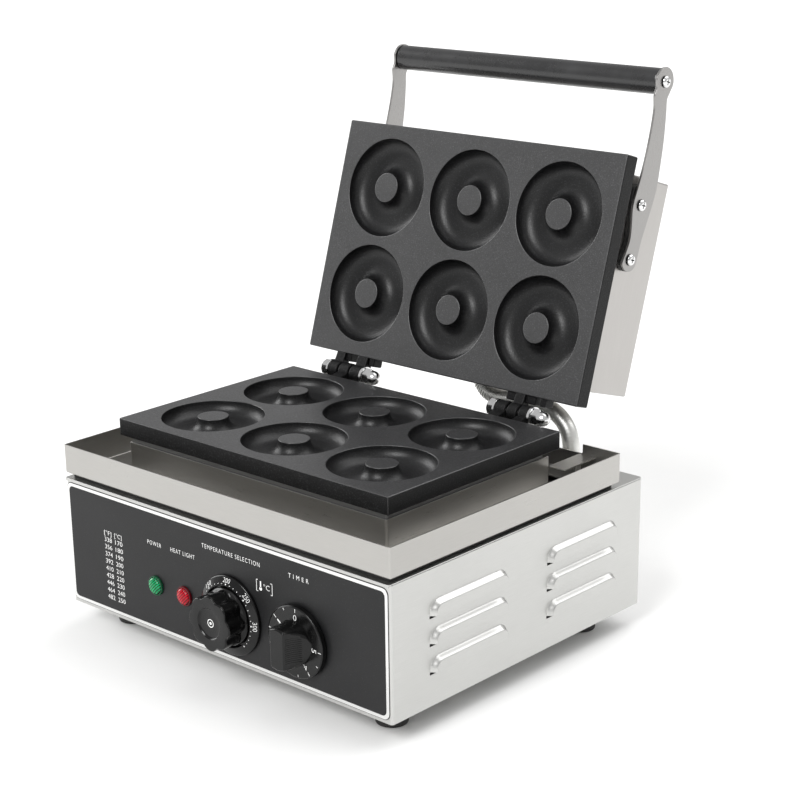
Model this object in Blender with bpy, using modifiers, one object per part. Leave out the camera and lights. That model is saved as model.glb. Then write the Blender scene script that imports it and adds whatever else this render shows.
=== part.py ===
"""Six-ring electric donut maker: a steel base with controls, a drip tray, two hinged
cast plates with ring moulds, and a lid with a steel cover and a long handle.

Every size below is in millimetres, in the casing's own frame: X runs across the machine
from its middle, Y runs back from the casing's front face, and Z is the height above the
table. Lid pieces are given as they lie with the lid shut, and the lid's empty opens them.
"""

import math

import bmesh
import bpy
from mathutils import Matrix, Vector

COLLECTION = "donut_maker"
CUTTERS = "donut_maker_cutters"
GAP = 0.3  # clearance between pieces that touch

# Overall frame: the object's origin is on the table, at the middle of its whole depth
CENTRE_Y = 183.44

# Base casing
CASE_WIDTH = 360.0
CASE_DEPTH = 301.0
CASE_BOTTOM = 20.0
CASE_TOP = 129.0
SHEET = 1.2
CORNER_RADIUS = 2.5
DECK_LIP = 3.0

DECK_SCREW_X = (-150.0, 70.0)
DECK_SCREW_Y = 289.0
GLAND_X = -120.0
GLAND_Z = 52.0

# Rubber feet
FOOT_RADIUS = 12.6
FOOT_INSET_X = 33.0
FOOT_INSET_Y = 35.5

# Pressed louvres, three rows in two columns on each side
LOUVRE_LENGTH = 89.0
LOUVRE_HEIGHT = 12.2
LOUVRE_DEPTH = 4.5
LOUVRE_STARTS = (41.2, 178.0)
LOUVRE_HEIGHTS = (47.5, 70.0, 91.9)

# Control panel and controls, whose centres lie on one row
PANEL_LEFT = -175.8
PANEL_RIGHT = 174.9
PANEL_BOTTOM = 25.8
PANEL_TOP = 120.9
PANEL_CORNER = 6.0
PANEL_FACE = -0.8
CONTROL_ROW = 61.0
LAMP_ROW = CONTROL_ROW + 1.0
POWER_LAMP_X = -71.6
HEAT_LAMP_X = -38.0
LAMP_HOLE = 6.4
THERMOSTAT_X = 15.5
TIMER_X = 89.0
LAMP_RADIUS = 8.2
DIAL_RADIUS = 32.4
THERMOSTAT_KNOB_RADIUS = 23.4
KNOB_FRONT = -25.2
TIMER_SKIRT_RADIUS = 28.6
TIMER_SKIRT_FACE = -6.6
TIMER_BAR_WIDTH = 14.8
TIMER_BAR_HEIGHT = 33.0
SHAFT_RADIUS = 3.0

# Drip tray, with its upstand around the lower plate's housing
TRAY_DEPTH = 270.6
TRAY_BOTTOM = 132.6
TRAY_TOP = 156.8
TRAY_SHEET = 1.0
UPSTAND_HALF_WIDTH = 142.0
UPSTAND_FRONT = 38.0
UPSTAND_BACK = 227.0
UPSTAND_TOP = 157.5
BACK_CUTOUT_HALF_WIDTH = 143.5
FLAP_HEIGHT = 149.0

# Cast plates
PLATE_HALF_WIDTH = 148.2
PLATE_FRONT = 33.3
PLATE_BACK = 233.9
PLATE_THICKNESS = 14.6
LOWER_PLATE_TOP = 177.8
UPPER_PLATE_FACE = 178.4
CAVITY_RADIUS = 42.1
POST_RADIUS = 12.7
CAVITY_DEPTH = 12.0
CAVITY_COLUMNS = (-93.3, 0.0, 93.3)
CAVITY_ROWS = (87.0, 179.4)
CAVITY_STEPS = 24
CAVITY_ARC_POINTS = 6

# Hinges: three knuckles each, the middle one on the other plate than the outer two
HINGE_Y = 249.3
HINGE_Z = 178.0
LID_OPEN_DEGREES = 107.5
KNUCKLE_RADIUS = 7.9
HINGE_BORE_RADIUS = 4.3
BOLT_RADIUS = 4.0
BOLT_HEAD_LENGTH = 8.8
BOLT_FLANGE_RADIUS = 8.2
BOLT_FLANGE_THICKNESS = 1.8
LEFT_KNUCKLES = ((-113.6, -103.4), (-101.6, -90.4), (-88.6, -77.0))
RIGHT_KNUCKLES = ((74.0, 84.8), (86.8, 96.6), (98.6, 107.4))
BACK_WEBS = ((-112.0, -98.0), (76.0, 106.0))
STOP_LUGS = ((-76.0, -70.0), (111.0, 117.0))
LUG_BACK = 240.5

# Lid cover
COVER_HALF_WIDTH = 134.0
COVER_FRONT = 45.4
COVER_BACK = 222.0
COVER_TOP = 263.8
COVER_SHEET = 1.0

# Handle: an arm each side, screwed to the cover through a spacer
ARM_SHEET = 2.0
SPACER_THICKNESS = 3.9
EYE_Y = -30.6
EYE_Z = 219.8
EYE_RADIUS = 11.6
GRIP_RADIUS = 10.5
ARM_SCREW_Y = (68.0, 112.0)
ARM_SCREW_Z = 220.9
SCREW_HEAD_RADIUS = 4.7
SCREW_SHANK_RADIUS = 2.2
# (distance from the eye, lower edge, upper edge), both measured from the eye's centre
ARM_STATIONS = (
    (13.0, -10.0, 7.6),
    (24.0, -6.5, 10.4),
    (44.0, -5.0, 14.5),
    (66.0, -5.3, 17.1),
    (84.0, -7.2, 18.2),
    (100.0, -9.2, 16.3),
    (112.0, -6.6, 14.1),
    (126.0, -4.0, 11.8),
    (138.0, -6.0, 11.0),
)
ARM_END_RADIUS = 9.8
SPACER_START = 80.0

# Metal conduit from the base to the lid
CONDUIT_RADIUS = 7.0
CONDUIT_X_LOW = 119.5
CONDUIT_Y_LOW = 286.0
CONDUIT_X_HIGH = 12.0
CONDUIT_LID_Z = 225.7


# ---------------------------------------------------------------- helpers


def clear_scene():
    for obj in list(bpy.data.objects):
        bpy.data.objects.remove(obj, do_unlink=True)
    for name in (COLLECTION, CUTTERS):
        found = bpy.data.collections.get(name)
        if found:
            bpy.data.collections.remove(found)


def new_collection(name):
    made = bpy.data.collections.new(name)
    bpy.context.scene.collection.children.link(made)
    return made


def make_material(name, colour, roughness, metallic):
    material = bpy.data.materials.new(name)
    material.use_nodes = True
    shader = material.node_tree.nodes["Principled BSDF"]
    shader.inputs["Base Color"].default_value = (*colour, 1.0)
    shader.inputs["Roughness"].default_value = roughness
    shader.inputs["Metallic"].default_value = metallic
    material.diffuse_color = (*colour, 1.0)
    return material


STEEL = ((0.72, 0.72, 0.71), 0.32, 1.0)
CHROME = ((0.86, 0.86, 0.86), 0.08, 1.0)
NON_STICK = ((0.045, 0.045, 0.048), 0.55, 0.0)
BLACK_PLASTIC = ((0.02, 0.02, 0.021), 0.3, 0.0)
BLACK_PANEL = ((0.03, 0.03, 0.031), 0.45, 0.0)
RUBBER = ((0.03, 0.03, 0.03), 0.8, 0.0)
GREEN_LENS = ((0.02, 0.45, 0.16), 0.15, 0.0)
RED_LENS = ((0.6, 0.02, 0.03), 0.15, 0.0)
FIBRE = ((0.7, 0.68, 0.62), 0.9, 0.0)
BRASS = ((0.75, 0.6, 0.3), 0.3, 1.0)
NYLON = ((0.75, 0.75, 0.72), 0.5, 0.0)


def metres(x, y, z):
    """A point of the casing's frame, in Blender's metres."""
    return Vector((x, y - CENTRE_Y, z)) * 0.001


def hinge_point():
    return metres(0.0, HINGE_Y, HINGE_Z)


def make_empty(name, location):
    empty = bpy.data.objects.new(name, None)
    empty.empty_display_size = 0.03
    empty.location = location
    bpy.data.collections[COLLECTION].objects.link(empty)
    return empty


def place(obj, at, turn=(0.0, 0.0, 0.0), parent=None):
    """Puts an object at a point of the casing's frame, turned by degrees about X, Y and Z."""
    location = metres(*at)
    if parent is not None:
        location -= parent.matrix_basis.translation
        obj.parent = parent
    obj.location = location
    obj.rotation_euler = [math.radians(a) for a in turn]
    return obj


def link(name, mesh, look, cutter=False):
    obj = bpy.data.objects.new(name, mesh)
    if cutter:
        bpy.data.collections[CUTTERS].objects.link(obj)
        obj.hide_render = True
        obj.display_type = "WIRE"
        return obj
    bpy.data.collections[COLLECTION].objects.link(obj)
    mesh.materials.append(make_material(name, *look))
    return obj


def box_mesh(name, size, rounded=0.0, segments=1, edges="ALL"):
    """A box centred on its origin. edges may be ALL or VERTICAL."""
    bm = bmesh.new()
    bmesh.ops.create_cube(bm, size=1.0)
    bmesh.ops.scale(bm, vec=Vector(size) * 0.001, verts=bm.verts)
    if rounded:
        chosen = [e for e in bm.edges if edges == "ALL" or is_vertical(e)]
        bmesh.ops.bevel(
            bm, geom=chosen, offset=rounded * 0.001, segments=segments, affect="EDGES", profile=0.5
        )
    mesh = bpy.data.meshes.new(name)
    bm.to_mesh(mesh)
    bm.free()
    return mesh


def is_vertical(edge):
    a, b = edge.verts
    return abs(a.co.z - b.co.z) > abs(a.co.x - b.co.x) + abs(a.co.y - b.co.y)


def add_box(name, low, high, look=STEEL, parent=None, cutter=False, rounded=0.0, segments=1, edges="ALL"):
    size = [b - a for a, b in zip(low, high)]
    middle = [(a + b) / 2 for a, b in zip(low, high)]
    mesh = box_mesh(name, size, rounded, segments, edges)
    return place(link(name, mesh, look, cutter), middle, parent=parent)


def add_cylinder(name, at, turn, radius, length, look=STEEL, parent=None, cutter=False, steps=20):
    """A cylinder that starts at its origin and runs along its own +Z."""
    bm = bmesh.new()
    bmesh.ops.create_cone(
        bm,
        cap_ends=True,
        segments=steps,
        radius1=radius * 0.001,
        radius2=radius * 0.001,
        depth=length * 0.001,
        matrix=Matrix.Translation((0, 0, length * 0.0005)),
    )
    mesh = bpy.data.meshes.new(name)
    bm.to_mesh(mesh)
    bm.free()
    return place(link(name, mesh, look, cutter), at, turn, parent)


def add_turned(name, profile, at, turn, look=STEEL, parent=None, cutter=False, steps=24, ring=False):
    """A profile of (radius, height) pairs, run down its outer side, turned about its own Z."""
    mesh = bpy.data.meshes.new(name)
    count = len(profile)
    joins = [(i, i + 1) for i in range(count - 1)]
    if ring:
        joins.append((count - 1, 0))
    mesh.from_pydata([(r * 0.001, 0.0, h * 0.001) for r, h in profile], joins, [])
    obj = place(link(name, mesh, look, cutter), at, turn, parent)
    screw = obj.modifiers.new("turn", "SCREW")
    screw.axis = "Z"
    screw.angle = math.tau
    screw.steps = steps
    screw.render_steps = steps
    screw.use_merge_vertices = True
    screw.merge_threshold = 1e-6
    screw.use_smooth_shade = True
    return obj


def add_hex_nut(name, at, turn, corner_radius, height, bore_radius, look, parent=None):
    """A plain hexagon nut that starts at its origin and runs along its own +Z."""
    outline = circle_points((0.0, 0.0), corner_radius, 6)
    bore = circle_points((0.0, 0.0), bore_radius, 20)
    mesh = outline_mesh(name, [outline, bore], height)
    mesh.transform(Matrix.Translation((0.0, 0.0, height * 0.0005)))
    return place(link(name, mesh, look), at, turn, parent)


def outline_mesh(name, loops, thickness):
    """A flat outline, with any holes as further loops, as thick as stated, about its own XY plane."""
    curve = bpy.data.curves.new(name, "CURVE")
    curve.dimensions = "2D"
    curve.fill_mode = "BOTH"
    curve.extrude = thickness * 0.0005
    for loop in loops:
        spline = curve.splines.new("POLY")
        spline.points.add(len(loop) - 1)
        for point, (a, b) in zip(spline.points, loop):
            point.co = (a * 0.001, b * 0.001, 0.0, 1.0)
        spline.use_cyclic_u = True
    return curve_to_mesh(name, curve)


def curve_to_mesh(name, curve):
    holder = bpy.data.objects.new(name + "_curve", curve)
    bpy.context.scene.collection.objects.link(holder)
    bpy.context.view_layer.update()
    graph = bpy.context.evaluated_depsgraph_get()
    mesh = bpy.data.meshes.new_from_object(holder.evaluated_get(graph))
    mesh.name = name
    mesh.materials.clear()
    bpy.data.objects.remove(holder, do_unlink=True)
    bpy.data.curves.remove(curve)
    bm = bmesh.new()
    bm.from_mesh(mesh)
    bmesh.ops.remove_doubles(bm, verts=bm.verts, dist=1e-6)
    bmesh.ops.recalc_face_normals(bm, faces=bm.faces)
    bm.to_mesh(mesh)
    bm.free()
    return mesh


def add_outline(name, loops, thickness, at, turn, look=STEEL, parent=None, cutter=False):
    mesh = outline_mesh(name, loops, thickness)
    return place(link(name, mesh, look, cutter), at, turn, parent)


def smooth_path(points, per_span):
    """Points along a smooth curve through the given ones."""
    padded = [points[0]] + list(points) + [points[-1]]
    path = []
    for i in range(len(points) - 1):
        a, b, c, d = (Vector(p) for p in padded[i : i + 4])
        for k in range(per_span):
            t = k / per_span
            path.append(catmull(a, b, c, d, t))
    path.append(Vector(points[-1]))
    return path


def smooth_loop(points, per_span):
    """Points along a smooth closed curve through the given ones."""
    count = len(points)
    path = []
    for i in range(count):
        a, b, c, d = (Vector(points[(i + k - 1) % count]) for k in range(4))
        for k in range(per_span):
            path.append(catmull(a, b, c, d, k / per_span))
    return path


def catmull(a, b, c, d, t):
    return 0.5 * (
        2 * b + (c - a) * t + (2 * a - 5 * b + 4 * c - d) * t * t + (3 * b - a - 3 * c + d) * t**3
    )


def add_tube(name, points, radius, look=STEEL, parent=None, resolution=2):
    """A round tube along points of the casing's frame. A lid tube's points are those of the shut lid."""
    origin = points[0]
    curve = bpy.data.curves.new(name, "CURVE")
    curve.dimensions = "3D"
    curve.bevel_depth = radius * 0.001
    curve.bevel_resolution = resolution
    curve.use_fill_caps = True
    spline = curve.splines.new("POLY")
    spline.points.add(len(points) - 1)
    for point, value in zip(spline.points, points):
        offset = (Vector(value) - Vector(origin)) * 0.001
        point.co = (*offset, 1.0)
    return place(link(name, curve_to_mesh(name, curve), look), origin, parent=parent)


def combine(obj, other, operation):
    modifier = obj.modifiers.new(other.name, "BOOLEAN")
    modifier.operation = operation
    modifier.solver = "EXACT"
    modifier.object = other
    return obj


def cut(obj, cutter):
    return combine(obj, cutter, "DIFFERENCE")


def join(obj, other):
    return combine(obj, other, "UNION")


def circle_points(centre, radius, count, start=0.0, sweep=math.tau):
    """Points on a circle or, with a sweep, on an arc that includes both its ends."""
    steps = count if sweep == math.tau else count - 1
    return [
        (
            centre[0] + radius * math.cos(start + sweep * i / steps),
            centre[1] + radius * math.sin(start + sweep * i / steps),
        )
        for i in range(count)
    ]


def rounded_rectangle(left, bottom, right, top, radius, count=5):
    corners = (
        ((right - radius, top - radius), 0.0),
        ((left + radius, top - radius), math.pi / 2),
        ((left + radius, bottom + radius), math.pi),
        ((right - radius, bottom + radius), 1.5 * math.pi),
    )
    points = []
    for centre, start in corners:
        points += circle_points(centre, radius, count, start, math.pi / 2)
    return points


FACE_FRONT = (90.0, 0.0, 0.0)  # own X stays across, own Y goes up, own Z comes forward
FACE_RIGHT = (90.0, 0.0, 90.0)  # own X goes back, own Y goes up, own Z goes right
ALONG_X = (0.0, 90.0, 0.0)
ALONG_MINUS_X = (0.0, -90.0, 0.0)
ALONG_BACK = (-90.0, 0.0, 0.0)


# ---------------------------------------------------------------- base


def build_casing():
    middle = (CASE_BOTTOM + CASE_TOP - SHEET) / 2
    height = CASE_TOP - SHEET - CASE_BOTTOM
    mesh = box_mesh("base_casing", (CASE_WIDTH, CASE_DEPTH, height), CORNER_RADIUS, 2, "VERTICAL")
    bm = bmesh.new()
    bm.from_mesh(mesh)
    ends = [f for f in bm.faces if abs(f.normal.z) > 0.9]
    bmesh.ops.delete(bm, geom=ends, context="FACES")
    bm.to_mesh(mesh)
    bm.free()
    casing = place(link("base_casing", mesh, STEEL), (0.0, CASE_DEPTH / 2, middle))
    wall = casing.modifiers.new("wall", "SOLIDIFY")
    wall.thickness = SHEET * 0.001
    wall.offset = -1.0
    join(casing, louvre_hoods())
    cut(casing, louvre_pockets())
    for cutter in control_holes():
        cut(casing, cutter)
    gland_hole = add_cylinder(
        "gland_hole", (GLAND_X, CASE_DEPTH - 6.0, GLAND_Z), ALONG_BACK, 8.4, 12.0, cutter=True
    )
    return cut(casing, gland_hole)


def louvre_outline(inset, drop):
    """Flat at the bottom, with both upper corners well rounded."""
    half = LOUVRE_LENGTH / 2 - inset
    radius = LOUVRE_HEIGHT - inset
    right = circle_points((half - radius, 0.0), radius, 4, 0.0, math.pi / 2)
    left = [(-a, b) for a, b in reversed(right)]
    if drop:
        return [(-half, -drop), (half, -drop), *right, *left]
    return [*right, *left]


def louvre_copies(name, outline, inner, outer, bevel):
    """Prisms of one outline at all twelve louvres, from x = inner to x = outer on the right side."""
    source = outline_mesh(name + "_one", [outline], outer - inner)
    whole = bmesh.new()
    for side in (1.0, -1.0):
        for start in LOUVRE_STARTS:
            for height in LOUVRE_HEIGHTS:
                add_louvre(whole, source, side, start, height, (inner + outer) / 2, bevel)
    bmesh.ops.recalc_face_normals(whole, faces=whole.faces)
    mesh = bpy.data.meshes.new(name)
    whole.to_mesh(mesh)
    whole.free()
    bpy.data.meshes.remove(source)
    return place(link(name, mesh, STEEL, cutter=True), (0.0, 0.0, 0.0))


def add_louvre(whole, source, side, start, height, middle, bevel):
    one = bmesh.new()
    one.from_mesh(source)
    if bevel:
        outer = max(v.co.z for v in one.verts)
        edges = [e for e in one.edges if all(abs(v.co.z - outer) < 1e-6 for v in e.verts)]
        edges = [e for e in edges if max(v.co.y for v in e.verts) > 1e-4 and len(e.link_faces) == 2]
        edges = [e for e in edges if abs(e.link_faces[0].normal.dot(e.link_faces[1].normal)) < 0.5]
        bmesh.ops.bevel(one, geom=edges, offset=bevel * 0.001, segments=1, affect="EDGES", profile=0.5)
    centre = Vector((side * middle, start + LOUVRE_LENGTH / 2, height)) * 0.001
    turn = Matrix(((0, 0, side), (1, 0, 0), (0, 1, 0))).to_4x4()
    bmesh.ops.transform(one, matrix=Matrix.Translation(centre) @ turn, verts=one.verts)
    part = bpy.data.meshes.new("louvre_one")
    one.to_mesh(part)
    one.free()
    whole.from_mesh(part)
    bpy.data.meshes.remove(part)


def louvre_hoods():
    side = CASE_WIDTH / 2
    return louvre_copies(
        "louvre_hoods", louvre_outline(0.0, 0.0), side - SHEET / 2, side + LOUVRE_DEPTH, 2.6
    )


def louvre_pockets():
    side = CASE_WIDTH / 2
    return louvre_copies(
        "louvre_pockets", louvre_outline(1.5, 1.2), side - 3.0, side + LOUVRE_DEPTH - 1.2, 0.0
    )


def control_holes():
    holes = (
        ("power_lamp_hole", POWER_LAMP_X, LAMP_ROW, LAMP_HOLE),
        ("heat_lamp_hole", HEAT_LAMP_X, LAMP_ROW, LAMP_HOLE),
        ("thermostat_hole", THERMOSTAT_X, CONTROL_ROW, 5.2),
        ("timer_hole", TIMER_X, CONTROL_ROW, 5.2),
    )
    return [
        add_cylinder(name, (x, 5.0, z), FACE_FRONT, radius, 10.0, cutter=True)
        for name, x, z, radius in holes
    ]


def build_deck():
    """The sheet that closes the casing, with a lip folded down over its front."""
    half = CASE_WIDTH / 2
    outline = rounded_rectangle(-half, -SHEET - GAP, half, CASE_DEPTH, CORNER_RADIUS, 3)
    opening = rounded_rectangle(-118.0, 62.0, 118.0, 204.0, 6.0, 3)
    conduit = circle_points((CONDUIT_X_LOW, CONDUIT_Y_LOW), CONDUIT_RADIUS + 0.6, 16)
    screws = [circle_points((x, DECK_SCREW_Y), 2.4, 10) for x in DECK_SCREW_X]
    thickness = SHEET - GAP
    deck = add_outline(
        "top_deck",
        [outline, opening, conduit, *screws],
        thickness,
        (0.0, 0.0, CASE_TOP - thickness / 2),
        (0.0, 0.0, 0.0),
    )
    lip = add_box(
        "deck_lip",
        (-half + 1.0, -SHEET - GAP, CASE_TOP - DECK_LIP),
        (half - 1.0, -GAP, CASE_TOP - thickness / 2),
        cutter=True,
    )
    return join(deck, lip)


def build_deck_screws():
    for side, x in zip(("left", "right"), DECK_SCREW_X):
        add_screw(f"deck_screw_{side}", (x, DECK_SCREW_Y, CASE_TOP + GAP), (0.0, 0.0, 0.0), 5.0, 3.6, 2.0)


def build_bottom_plate():
    inset = SHEET + GAP
    half = CASE_WIDTH / 2 - inset
    outline = rounded_rectangle(-half, inset, half, CASE_DEPTH - inset, CORNER_RADIUS - 1.0, 2)
    slots = []
    for i in range(6):
        y = 100.0 + 20.0 * i
        slots.append(rounded_rectangle(-45.0, y, 45.0, y + 6.0, 2.9, 3))
    return add_outline(
        "bottom_plate",
        [outline, *slots],
        SHEET,
        (0.0, 0.0, CASE_BOTTOM + SHEET / 2),
        (0.0, 0.0, 0.0),
    )


def build_feet():
    height = CASE_BOTTOM - GAP
    r = FOOT_RADIUS
    profile = [(0.0, height), (r + 0.8, height), (r + 0.2, height * 0.5), (r, 1.2), (r - 1.2, 0.0), (0.0, 0.0)]
    for end, y in (("front", FOOT_INSET_Y), ("rear", CASE_DEPTH - FOOT_INSET_Y)):
        for side, sign in (("left", -1), ("right", 1)):
            x = sign * (CASE_WIDTH / 2 - FOOT_INSET_X)
            add_turned(f"foot_{end}_{side}", profile, (x, y, 0.0), (0, 0, 0), RUBBER, steps=18)


def build_control_panel():
    outline = rounded_rectangle(PANEL_LEFT, PANEL_BOTTOM, PANEL_RIGHT, PANEL_TOP, PANEL_CORNER, 5)
    holes = [
        circle_points((POWER_LAMP_X, LAMP_ROW), LAMP_HOLE, 16),
        circle_points((HEAT_LAMP_X, LAMP_ROW), LAMP_HOLE, 16),
        circle_points((THERMOSTAT_X, CONTROL_ROW), 5.2, 14),
        circle_points((TIMER_X, CONTROL_ROW), 5.2, 14),
    ]
    thickness = -GAP - PANEL_FACE
    return add_outline(
        "control_panel",
        [outline, *holes],
        thickness,
        (0.0, (PANEL_FACE - GAP) / 2, 0.0),
        FACE_FRONT,
        BLACK_PANEL,
    )


# ---------------------------------------------------------------- controls


def build_lamps():
    front = -PANEL_FACE + GAP
    lens = [
        (0.0, front + 4.4),
        (3.4, front + 4.2),
        (6.2, front + 3.4),
        (LAMP_RADIUS - 0.3, front + 1.6),
        (LAMP_RADIUS, front),
        (5.6, front),
        (5.6, -4.0),
        (0.0, -4.0),
    ]
    body = [(0.0, -4.4), (5.9, -4.4), (5.9, -26.0), (2.0, -26.0), (2.0, -34.0), (0.0, -34.0)]
    for name, x, look in (("power_lamp", POWER_LAMP_X, GREEN_LENS), ("heat_lamp", HEAT_LAMP_X, RED_LENS)):
        at = (x, 0.0, LAMP_ROW)
        add_turned(name, lens, at, FACE_FRONT, look, steps=20)
        add_turned(name + "_body", body, at, FACE_FRONT, NYLON, steps=14)


def fluted_outline(radius, depth, flutes, per_flute):
    points = []
    for i in range(flutes * per_flute):
        angle = math.tau * i / (flutes * per_flute)
        r = radius - depth * (0.5 - 0.5 * math.cos(flutes * angle)) ** 1.5
        points.append((r * math.sin(angle), r * math.cos(angle)))
    return points


def build_thermostat():
    at = (THERMOSTAT_X, 0.0, CONTROL_ROW)
    axis = make_empty("thermostat_axis", metres(*at))
    back = -PANEL_FACE + GAP
    r = DIAL_RADIUS
    dial = [
        (r, back),
        (9.0, back),
        (9.0, back + 1.2),
        (24.4, back + 1.2),
        (24.8, back + 5.2),
        (25.6, back + 5.5),
        (r - 0.8, back + 2.8),
        (r, back + 2.2),
    ]
    add_turned("thermostat_dial", dial, at, FACE_FRONT, BLACK_PLASTIC, steps=30, ring=True)
    build_thermostat_knob(axis)
    add_shaft("thermostat_shaft", axis, -KNOB_FRONT - 9.0)
    body = add_box(
        "thermostat_body",
        (THERMOSTAT_X - 17.0, SHEET + GAP, CONTROL_ROW - 22.0),
        (THERMOSTAT_X + 17.0, 30.0, CONTROL_ROW + 22.0),
        NYLON,
        rounded=1.5,
    )
    cut(body, add_cylinder("thermostat_bore", (THERMOSTAT_X, 0.0, CONTROL_ROW), ALONG_BACK, 3.4, 8.0, cutter=True))


def build_thermostat_knob(axis):
    collar_back = -PANEL_FACE + GAP + 1.6
    collar = [
        (0.0, collar_back + 5.4),
        (19.0, collar_back + 5.4),
        (THERMOSTAT_KNOB_RADIUS - 0.6, collar_back + 4.6),
        (THERMOSTAT_KNOB_RADIUS, collar_back + 3.2),
        (THERMOSTAT_KNOB_RADIUS, collar_back),
        (0.0, collar_back),
    ]
    knob = add_turned(
        "thermostat_knob", collar, (THERMOSTAT_X, 0.0, CONTROL_ROW), FACE_FRONT, BLACK_PLASTIC, axis, steps=32
    )
    back = collar_back + 4.0
    front = -KNOB_FRONT
    middle = (THERMOSTAT_X, -(back + front) / 2, CONTROL_ROW)
    outline = fluted_outline(THERMOSTAT_KNOB_RADIUS - 0.4, 2.4, 8, 5)
    grip = add_outline(
        "thermostat_grip", [outline], front - back, middle, FACE_FRONT, parent=axis, cutter=True
    )
    edge = grip.modifiers.new("edge", "BEVEL")
    edge.width = 0.0011
    edge.segments = 1
    edge.limit_method = "ANGLE"
    edge.angle_limit = math.radians(60)
    join(knob, grip)
    recess = [(0.0, 3.0), (12.6, 3.0), (12.6, -0.7), (5.6, -0.7), (5.6, -1.3), (0.0, -1.3)]
    recess = add_turned(
        "thermostat_recess",
        recess,
        (THERMOSTAT_X, KNOB_FRONT, CONTROL_ROW),
        FACE_FRONT,
        parent=axis,
        cutter=True,
    )
    cut(knob, recess)
    cut(knob, shaft_bore("thermostat_knob_bore", axis, THERMOSTAT_X, -KNOB_FRONT - 8.5))


def shaft_bore(name, axis, x, front):
    return add_cylinder(
        name, (x, 4.0, CONTROL_ROW), FACE_FRONT, SHAFT_RADIUS + GAP, front + 4.0, parent=axis, cutter=True
    )


def add_shaft(name, axis, front):
    """A control's shaft, from inside its body to inside its knob."""
    x = axis.location.x * 1000
    return add_cylinder(
        name, (x, 6.5, CONTROL_ROW), FACE_FRONT, SHAFT_RADIUS, front + 6.5, CHROME, axis, steps=14
    )


def build_timer():
    at = (TIMER_X, 0.0, CONTROL_ROW)
    axis = make_empty("timer_axis", metres(*at))
    back = -PANEL_FACE + GAP + 0.3
    front = -TIMER_SKIRT_FACE
    r = TIMER_SKIRT_RADIUS
    skirt = [(0.0, front), (r - 0.7, front), (r, front - 0.6), (r, back + 0.3), (r - 0.4, back), (0.0, back)]
    knob = add_turned("timer_knob", skirt, at, FACE_FRONT, BLACK_PLASTIC, axis, steps=30)
    join(knob, timer_grip(axis))
    cut(knob, shaft_bore("timer_knob_bore", axis, TIMER_X, -KNOB_FRONT - 8.5))
    add_shaft("timer_shaft", axis, -KNOB_FRONT - 9.0)
    body = add_box(
        "timer_body",
        (TIMER_X - 23.0, SHEET + GAP, CONTROL_ROW - 23.0),
        (TIMER_X + 23.0, 38.0, CONTROL_ROW + 23.0),
        NYLON,
        rounded=1.5,
    )
    cut(body, add_cylinder("timer_bore", (TIMER_X, 0.0, CONTROL_ROW), ALONG_BACK, 3.4, 8.0, cutter=True))


def bar_section(half_width, half_height, count):
    """A circle of radius half_height, flattened at both sides to half_width."""
    points = []
    for i in range(count):
        angle = math.tau * (i + 0.5) / count
        x = half_height * math.cos(angle)
        y = half_height * math.sin(angle)
        points.append((max(-half_width, min(half_width, x)), y))
    return points


def timer_grip(axis):
    """The grip runs from a round foot on the skirt to a flat bar at the front."""
    count = 24
    stations = (
        (-TIMER_SKIRT_FACE - 2.0, 17.6, 17.6),
        (-TIMER_SKIRT_FACE + 3.0, 15.5, 17.5),
        (-KNOB_FRONT - 7.0, 9.2, 17.1),
        (-KNOB_FRONT - 1.0, TIMER_BAR_WIDTH / 2, TIMER_BAR_HEIGHT / 2),
        (-KNOB_FRONT, TIMER_BAR_WIDTH / 2 - 1.0, TIMER_BAR_HEIGHT / 2 - 1.0),
    )
    bm = bmesh.new()
    rings = []
    for height, half_width, half_height in stations:
        section = bar_section(half_width, half_height, count)
        rings.append([bm.verts.new((x * 0.001, y * 0.001, height * 0.001)) for x, y in section])
    for low, high in zip(rings, rings[1:]):
        for i in range(count):
            j = (i + 1) % count
            bm.faces.new((low[i], low[j], high[j], high[i]))
    bm.faces.new(reversed(rings[0]))
    bm.faces.new(rings[-1])
    bmesh.ops.recalc_face_normals(bm, faces=bm.faces)
    mesh = bpy.data.meshes.new("timer_grip")
    bm.to_mesh(mesh)
    bm.free()
    grip = link("timer_grip", mesh, BLACK_PLASTIC, cutter=True)
    return place(grip, (TIMER_X, 0.0, CONTROL_ROW), FACE_FRONT, axis)


# ---------------------------------------------------------------- inside the base


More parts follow.
